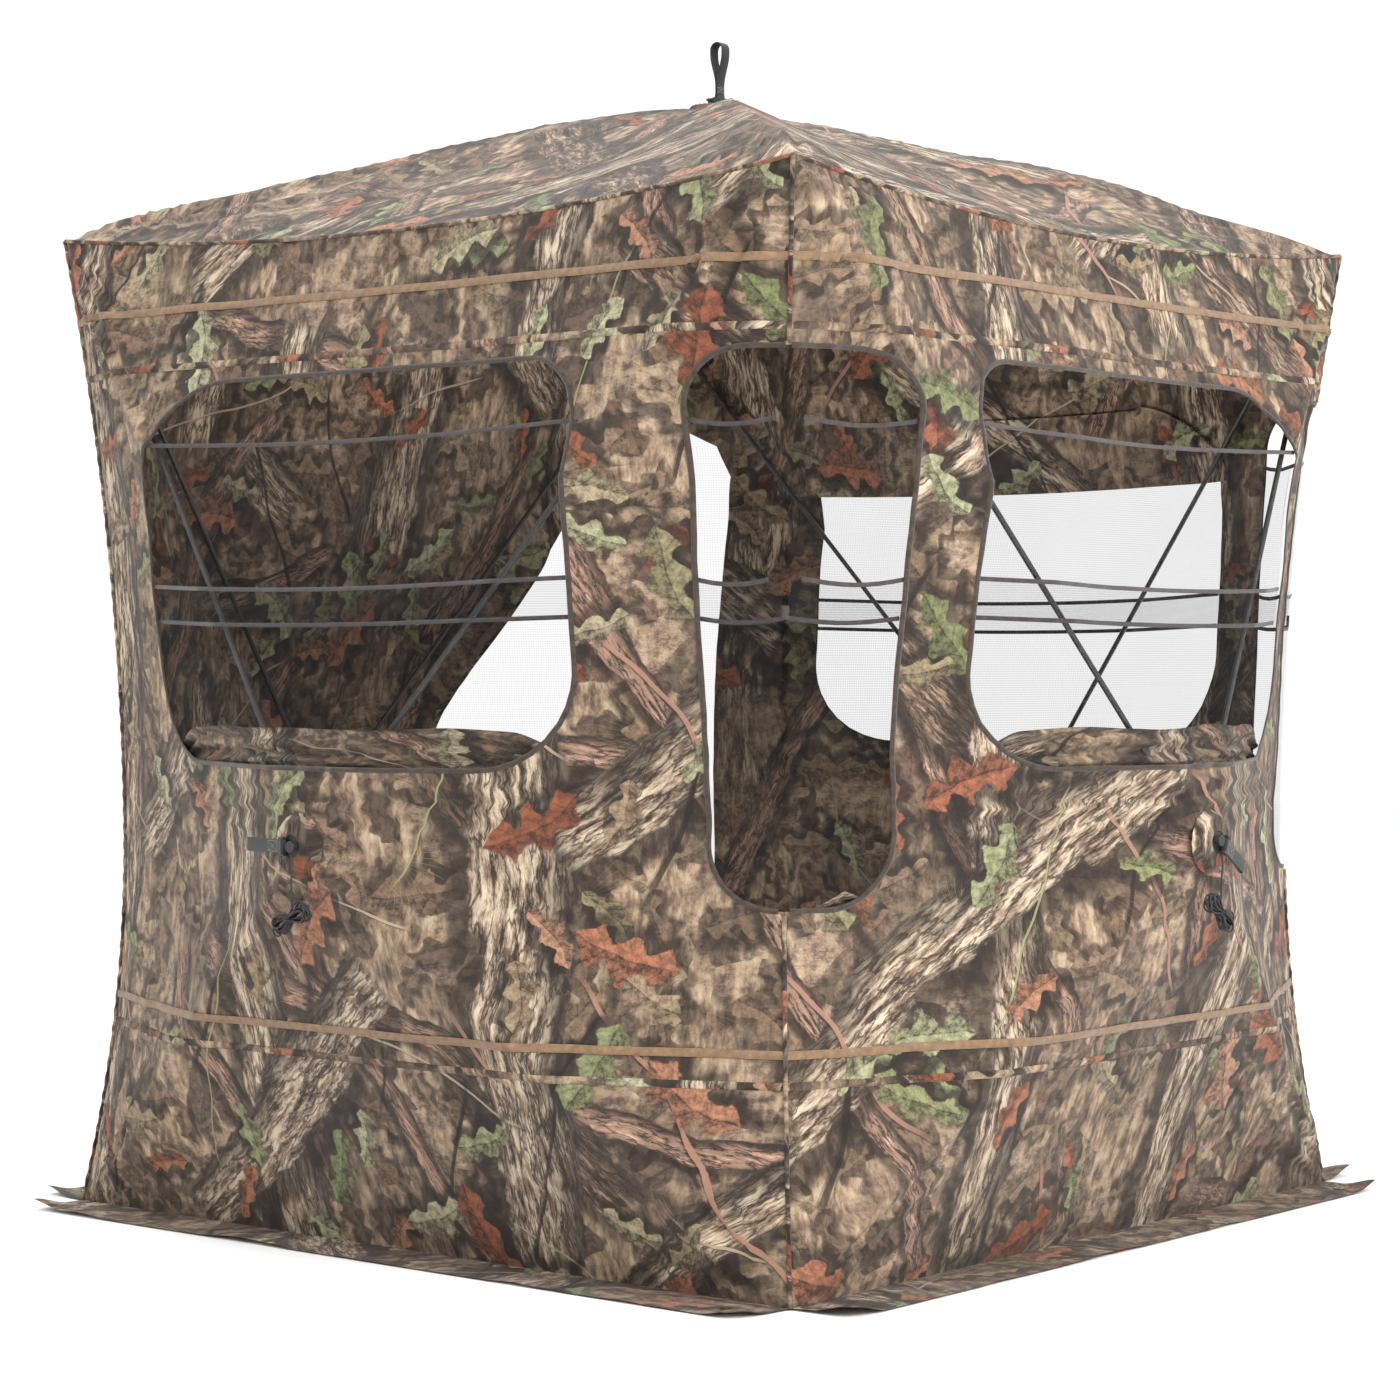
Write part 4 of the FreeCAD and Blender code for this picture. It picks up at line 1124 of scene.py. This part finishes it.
def add_window_trim(panels, binding):
    for side in WINDOW_WALLS:
        band_on(panels[side], "window_binding_" + side, grown(window_outline(side), 0.0015), 0.0075,
                0.0012, binding, closed=True, crown=0.0016)
        for sign in corner_ends(side):
            path = divided(corner_window_edge(side, sign), 0.006, closed=False)
            path = [(u, v) for u, v in path if abs(u) < corner_at(v) - 0.002]
            band_on(panels[side], f"corner_binding_{side}_{end_name(sign)}", path, 0.0075, 0.0012,
                    binding, crown=0.0016)


def sagged(loop, low, high):
    """The clipped net outline with its free edges a little slack."""
    cut = divided(clipped(loop, low, high), 0.02)
    left = min(u for u, _ in cut)
    right = max(u for u, _ in cut)
    made = []
    for u, v in cut:
        t = (u - left) / max(right - left, 1e-6)
        droop = 0.012 * math.sin(math.pi * t)
        if abs(v - high) < 1e-4:
            v -= droop
        if abs(v - low) < 1e-4 and low > 0.8:
            v -= droop * 0.8
        made.append((u, v))
    return made


def net_rows(panel, name, loop, low, net, hem, node):
    """Two overlapping nets, each hemmed along its free edge."""
    for row, (bottom, top, out) in enumerate(((low, MESH_OVERLAP[1], -0.0042),
                                              (MESH_OVERLAP[0], MESH_TOP, -0.0066))):
        outline = sagged(loop, bottom, top)
        piece = sheet_on(panel, f"{name}_{row}", outline, [], out, net, step=0.016)
        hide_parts(node)
        left = min(u for u, _ in outline)
        right = max(u for u, _ in outline)
        for index, edge in enumerate((bottom, top)):
            if row == 0 and index == 0:
                continue
            free = sorted((u, v) for u, v in outline if abs(v - edge) < 0.016)
            free = [p for p in free if left + 0.004 < p[0] < right - 0.004]
            band_on(panel, f"{name}_hem_{row}_{index}", free, 0.0065, out + 0.001, hem,
                    crown=0.0004, step=0.014)


def add_nets(panels, net, hem):
    for side in WINDOW_WALLS:
        net_rows(panels[side], "window_net_" + side, grown(window_outline(side), 0.018), 0.7, net, hem,
                 "window_mesh")
        for sign in corner_ends(side):
            loop = corner_window_loop(side, sign, 0.018, 0.0075)
            net_rows(panels[side], f"corner_net_{side}_{end_name(sign)}", loop, 0.50, net, hem,
                     "corner_window_mesh")


def cover_fold(u, t, seed):
    """Depth of a gathered cover at its share t from top to bottom."""
    wobble = noise.noise(Vector((u * 5.0, t * 1.5, seed)))
    fold = math.sin(t * 19 + 3.6 * wobble + u * 5) * 0.0048
    return -(0.0090 + 0.0085 * math.sin(math.pi * min(t * 1.05, 1.0)) + fold + 0.0014 *
             noise.noise(Vector((u * 30, t * 6, seed + 3))))


def gathered(panel, name, ends, top, depth, camo, node, seed):
    """A window cover let down into folds along the lower edge of its window."""
    left, right = ends
    across, down = 90, 22
    verts, uvs = [], []
    for i in range(across + 1):
        u = left + (right - left) * i / across
        near_end = smooth(min(u - left, right - u), 0.0, 0.09)
        crest = top - 0.030 * (1 - near_end) + 0.008 * noise.noise(Vector((u * 7, seed, 0)))
        height = depth * (0.75 + 0.25 * near_end)
        for j in range(down + 1):
            t = j / down
            v = crest - height * t
            verts.append(panel.place(u, v, cover_fold(u, t, seed)))
            uvs.append((u + seed, v * 2.6 + seed))
    faces = quads(across + 1, down + 1, flip=True)
    piece = mesh_object(name, verts, faces, camo, uvs)
    follow_hub(piece, panel)
    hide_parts(node)


def add_covers(panels, camo):
    left, right, low, high = WINDOW
    for side, ends, seed in (("front", (left + 0.05, right - 0.01), 2.0),
                             ("right", (-right + 0.01, -left - 0.05), 5.0)):
        gathered(panels[side], "window_cover_visual_" + side, ends, low + 0.056, 0.078, camo,
                 "window_cover_" + side, seed)
    loop = sagged(grown(window_outline("back"), 0.024), 1.197, high + 0.023)
    raised = sheet_on(panels["back"], "window_cover_visual_back", loop, [], -0.0098, camo,
                      step=0.012)
    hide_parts("window_cover_back")
    for (side, sign), (edge, _) in CORNER_HALVES.items():
        ends = sorted((sign * (edge + 0.010), sign * (corner_at(CORNER_WINDOW[0]) - 0.030)))
        gathered(panels[side], f"corner_cover_{side}_{end_name(sign)}", ends, CORNER_WINDOW[0] + 0.034,
                 0.056, camo, "corner_window_covers", sign * 3.0 + TURN[side] * 0.1)


def add_slider(back, plastic):
    """The zip's slider at the top of the opening, with its pull tab hanging from it."""
    u, v = SLIDER
    parts = {"zip_slider": ([(u, v + 0.012), (u, v - 0.012)], 0.0062, False),
             "zip_pull": ([(u + 0.007 * math.sin(a), v - 0.024 + 0.017 * math.cos(a))
                           for a in spaced(0.0, 2 * math.pi, 24)[:-1]], 0.0020, True)}
    for name, (path, radius, closed) in parts.items():
        points = [back.place(x, y, 0.0070) for x, y in path]
        piece = tube(name, points, radius, plastic, closed=closed)
        follow_hub(piece, back)
        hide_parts("door_zip")


FLAP_SECTION = [(-0.50, 0.0), (-0.46, 0.45), (-0.30, 0.86), (-0.08, 1.0), (0.10, 0.90), (0.22, 0.66),
                (0.34, 0.74), (0.45, 0.42), (0.50, 0.0)]


def add_door(panels, camo, binding, plastic):
    """The zip down the back wall, and the flap folded back and rolled on the left wall."""
    back = panels["back"]
    tape = [(DOOR_IN - 0.009, v) for v in spaced(DOOR_BOTTOM, DOOR_TOP - 0.11, 120)]
    zip_tape = band_on(back, "zip_tape", tape, 0.015, 0.0018, binding, crown=0.0005)
    teeth = band_on(back, "zip_teeth", tape, 0.0046, 0.0034, plastic, crown=0.0010)
    for piece in (zip_tape, teeth):
        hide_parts("door_zip")
    add_slider(back, plastic)
    left = panels["left"]
    fold = [(u + 0.034, v - 0.008) for u, v in FLAP_FOLD[2:-1]]
    fold = divided(smoothed(fold), 0.008, closed=False)
    fold = [Vector(p) for p in fold]
    verts, uvs = [], []
    for i, (point, along) in enumerate(zip(fold, headings(fold))):
        normal = Vector((-along.y, along.x))
        end = smooth(min(i, len(fold) - 1 - i), 0, 9)
        for a, r in FLAP_SECTION:
            crease = 0.0016 * noise.noise(Vector((i * 0.12, a * 9, 4.0)))
            place = point + normal * (a * 0.058 * (0.75 + 0.25 * end))
            verts.append(left.place(place.x, place.y, 0.0016 + (0.0118 * r + crease) * end))
            uvs.append((i * 0.008, a * 0.12))
    faces = quads(len(fold), len(FLAP_SECTION))
    flap = mesh_object("door_flap_visual", verts, faces, camo, uvs)
    follow_hub(flap, left)
    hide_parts("door_flap")


def smoothed(points, rounds=2):
    """Corner cutting, ends kept."""
    for _ in range(rounds):
        made = [points[0]]
        for (x1, y1), (x2, y2) in zip(points, points[1:]):
            made.append((x1 * 0.75 + x2 * 0.25, y1 * 0.75 + y2 * 0.25))
            made.append((x1 * 0.25 + x2 * 0.75, y1 * 0.25 + y2 * 0.75))
        made.append(points[-1])
        points = made
    return points


def add_skirt(camo):
    """Ground flaps, rucked where they leave the wall and curling up at their tips."""
    for side, turn in TURN.items():
        seed = turn * 0.07 + 1
        loop = [(-FOOT, 0.001), (FOOT, 0.001), (FOOT - 0.012, SKIRT_W), (-FOOT + 0.003, SKIRT_W)]
        eyelet = (0.672, 0.0005 + SKIRT_W * 0.6)
        flat, faces = flat_sheet(loop, [circle(eyelet, 0.0075)], 0.011)
        spin = Matrix.Rotation(math.radians(turn), 4, "Z")
        verts = []
        for u, t in flat:
            out = t / SKIRT_W
            calm = smooth(math.hypot(u - eyelet[0], t - eyelet[1]), 0.012, 0.06)
            ruck = 0.0075 * max(noise.noise(Vector((u * 11, t * 5, seed))), -0.2) * out
            wave = math.sin(u * 60 + 4 * noise.noise(Vector((u * 4, 0, seed))))
            ruck += 0.0070 * wave * out * (1 - out)
            tip = 0.014 * smooth(abs(u), FOOT - 0.09, FOOT) * smooth(out, 0.35, 1.0)
            lift = max((ruck + tip) * calm, 0.0) + 0.0022
            verts.append(spin @ Vector((u, -FOOT - t, lift)))
        uvs = [(u + 0.31 * turn, t + 0.2) for u, t in flat]
        piece = mesh_object("ground_flap_" + side, verts, faces, camo, uvs)
        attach(piece, "root")
        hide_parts("ground_skirt")


# ---------------------------------------------------------------- stage and materials of CAD nodes


def add_stage():
    size = 14.0
    verts = [(-size, -size, 0), (size, -size, 0), (size, size, 0), (-size, size, 0)]
    mesh = bpy.data.meshes.new("floor")
    mesh.from_pydata(verts, [], [(0, 1, 2, 3)])
    mesh.materials.append(floor_material())
    floor = new_object("floor", mesh)
    floor.location.z = -0.0005


def area_light(name, place, target, size, power):
    data = bpy.data.lights.new(name, "AREA")
    data.shape = "DISK"
    data.size = size
    data.energy = power
    light = new_object(name, data)
    light.location = place
    light.rotation_euler = (Vector(target) - Vector(place)).to_track_quat("-Z", "Y").to_euler()
    light.visible_camera = False


def add_light():
    world = bpy.data.worlds.new("studio")
    world.use_nodes = True
    background = world.node_tree.nodes["Background"]
    background.inputs["Color"].default_value = (1.0, 1.0, 1.0, 1.0)
    background.inputs["Strength"].default_value = 1.08
    bpy.context.scene.world = world
    bpy.context.scene.view_settings.view_transform = "Standard"
    area_light("key", (5.5, -1.0, 3.4), (0, 0, 0.9), 3.0, 340)
    area_light("fill", (0.5, -5.5, 4.5), (0, 0, 0.9), 3.5, 150)
    area_light("inside", (0.0, 0.0, 0.95), (0, 0, 2), 0.8, 9)
    area_light("top", (-1.5, 1.0, 5.5), (0, 0, 1.2), 4.0, 160)


def dress(name, *materials):
    """Gives a CAD node's slots better materials."""
    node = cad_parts[name]
    for index in range(len(node.material_slots)):
        node.material_slots[index].material = materials[min(index, len(materials) - 1)]


def main():
    add_camera()
    black_cord = cord_material()
    for side in TURN:
        add_guy_cord(side, black_cord)
    camo = camo_material("woodland_cloth")
    net = net_material()
    hem = ribbon_material("net_hem", srgb(44, 40, 40), srgb(72, 66, 64))
    binding = ribbon_material("window_binding", srgb(38, 32, 28), srgb(74, 62, 52))
    tan = ribbon_material("tan_ribbon", srgb(106, 82, 60), srgb(140, 112, 84))
    plastic = plastic_material("black_moulding", srgb(18, 18, 19), srgb(70, 70, 70), 0.36)
    rod = plastic_material("dark_fibreglass", srgb(24, 24, 24), srgb(90, 88, 84), 0.30)
    brass = metal_material("brass", srgb(176, 146, 84))
    panels = {side: WallPanel(side, 3.0 + i * 7.0) for i, side in enumerate(TURN)}
    roof = RoofPanel()
    add_walls(panels, camo)
    add_roof(roof, camo)
    add_seams(camo)
    add_strips(panels, tan, camo)
    add_window_trim(panels, binding)
    add_nets(panels, net, hem)
    add_covers(panels, camo)
    add_door(panels, camo, binding, plastic)
    add_skirt(camo)
    strap = webbing_material()
    thread = ribbon_material("thread", srgb(120, 118, 114), srgb(150, 148, 144))
    for side in (*TURN, "roof"):
        add_strap(side, strap, thread)
        add_hub_patch(side, camo)
        dress("hub_" + side, plastic)
        dress("hub_cap_" + side, plastic)
        for corner in ("upper_left", "upper_right", "lower_left", "lower_right"):
            dress(f"pole_{side}_{corner}", rod)
    dress("corner_pockets", plastic)
    dress("stake_eyelets", brass)
    add_stage()
    add_light()


main()
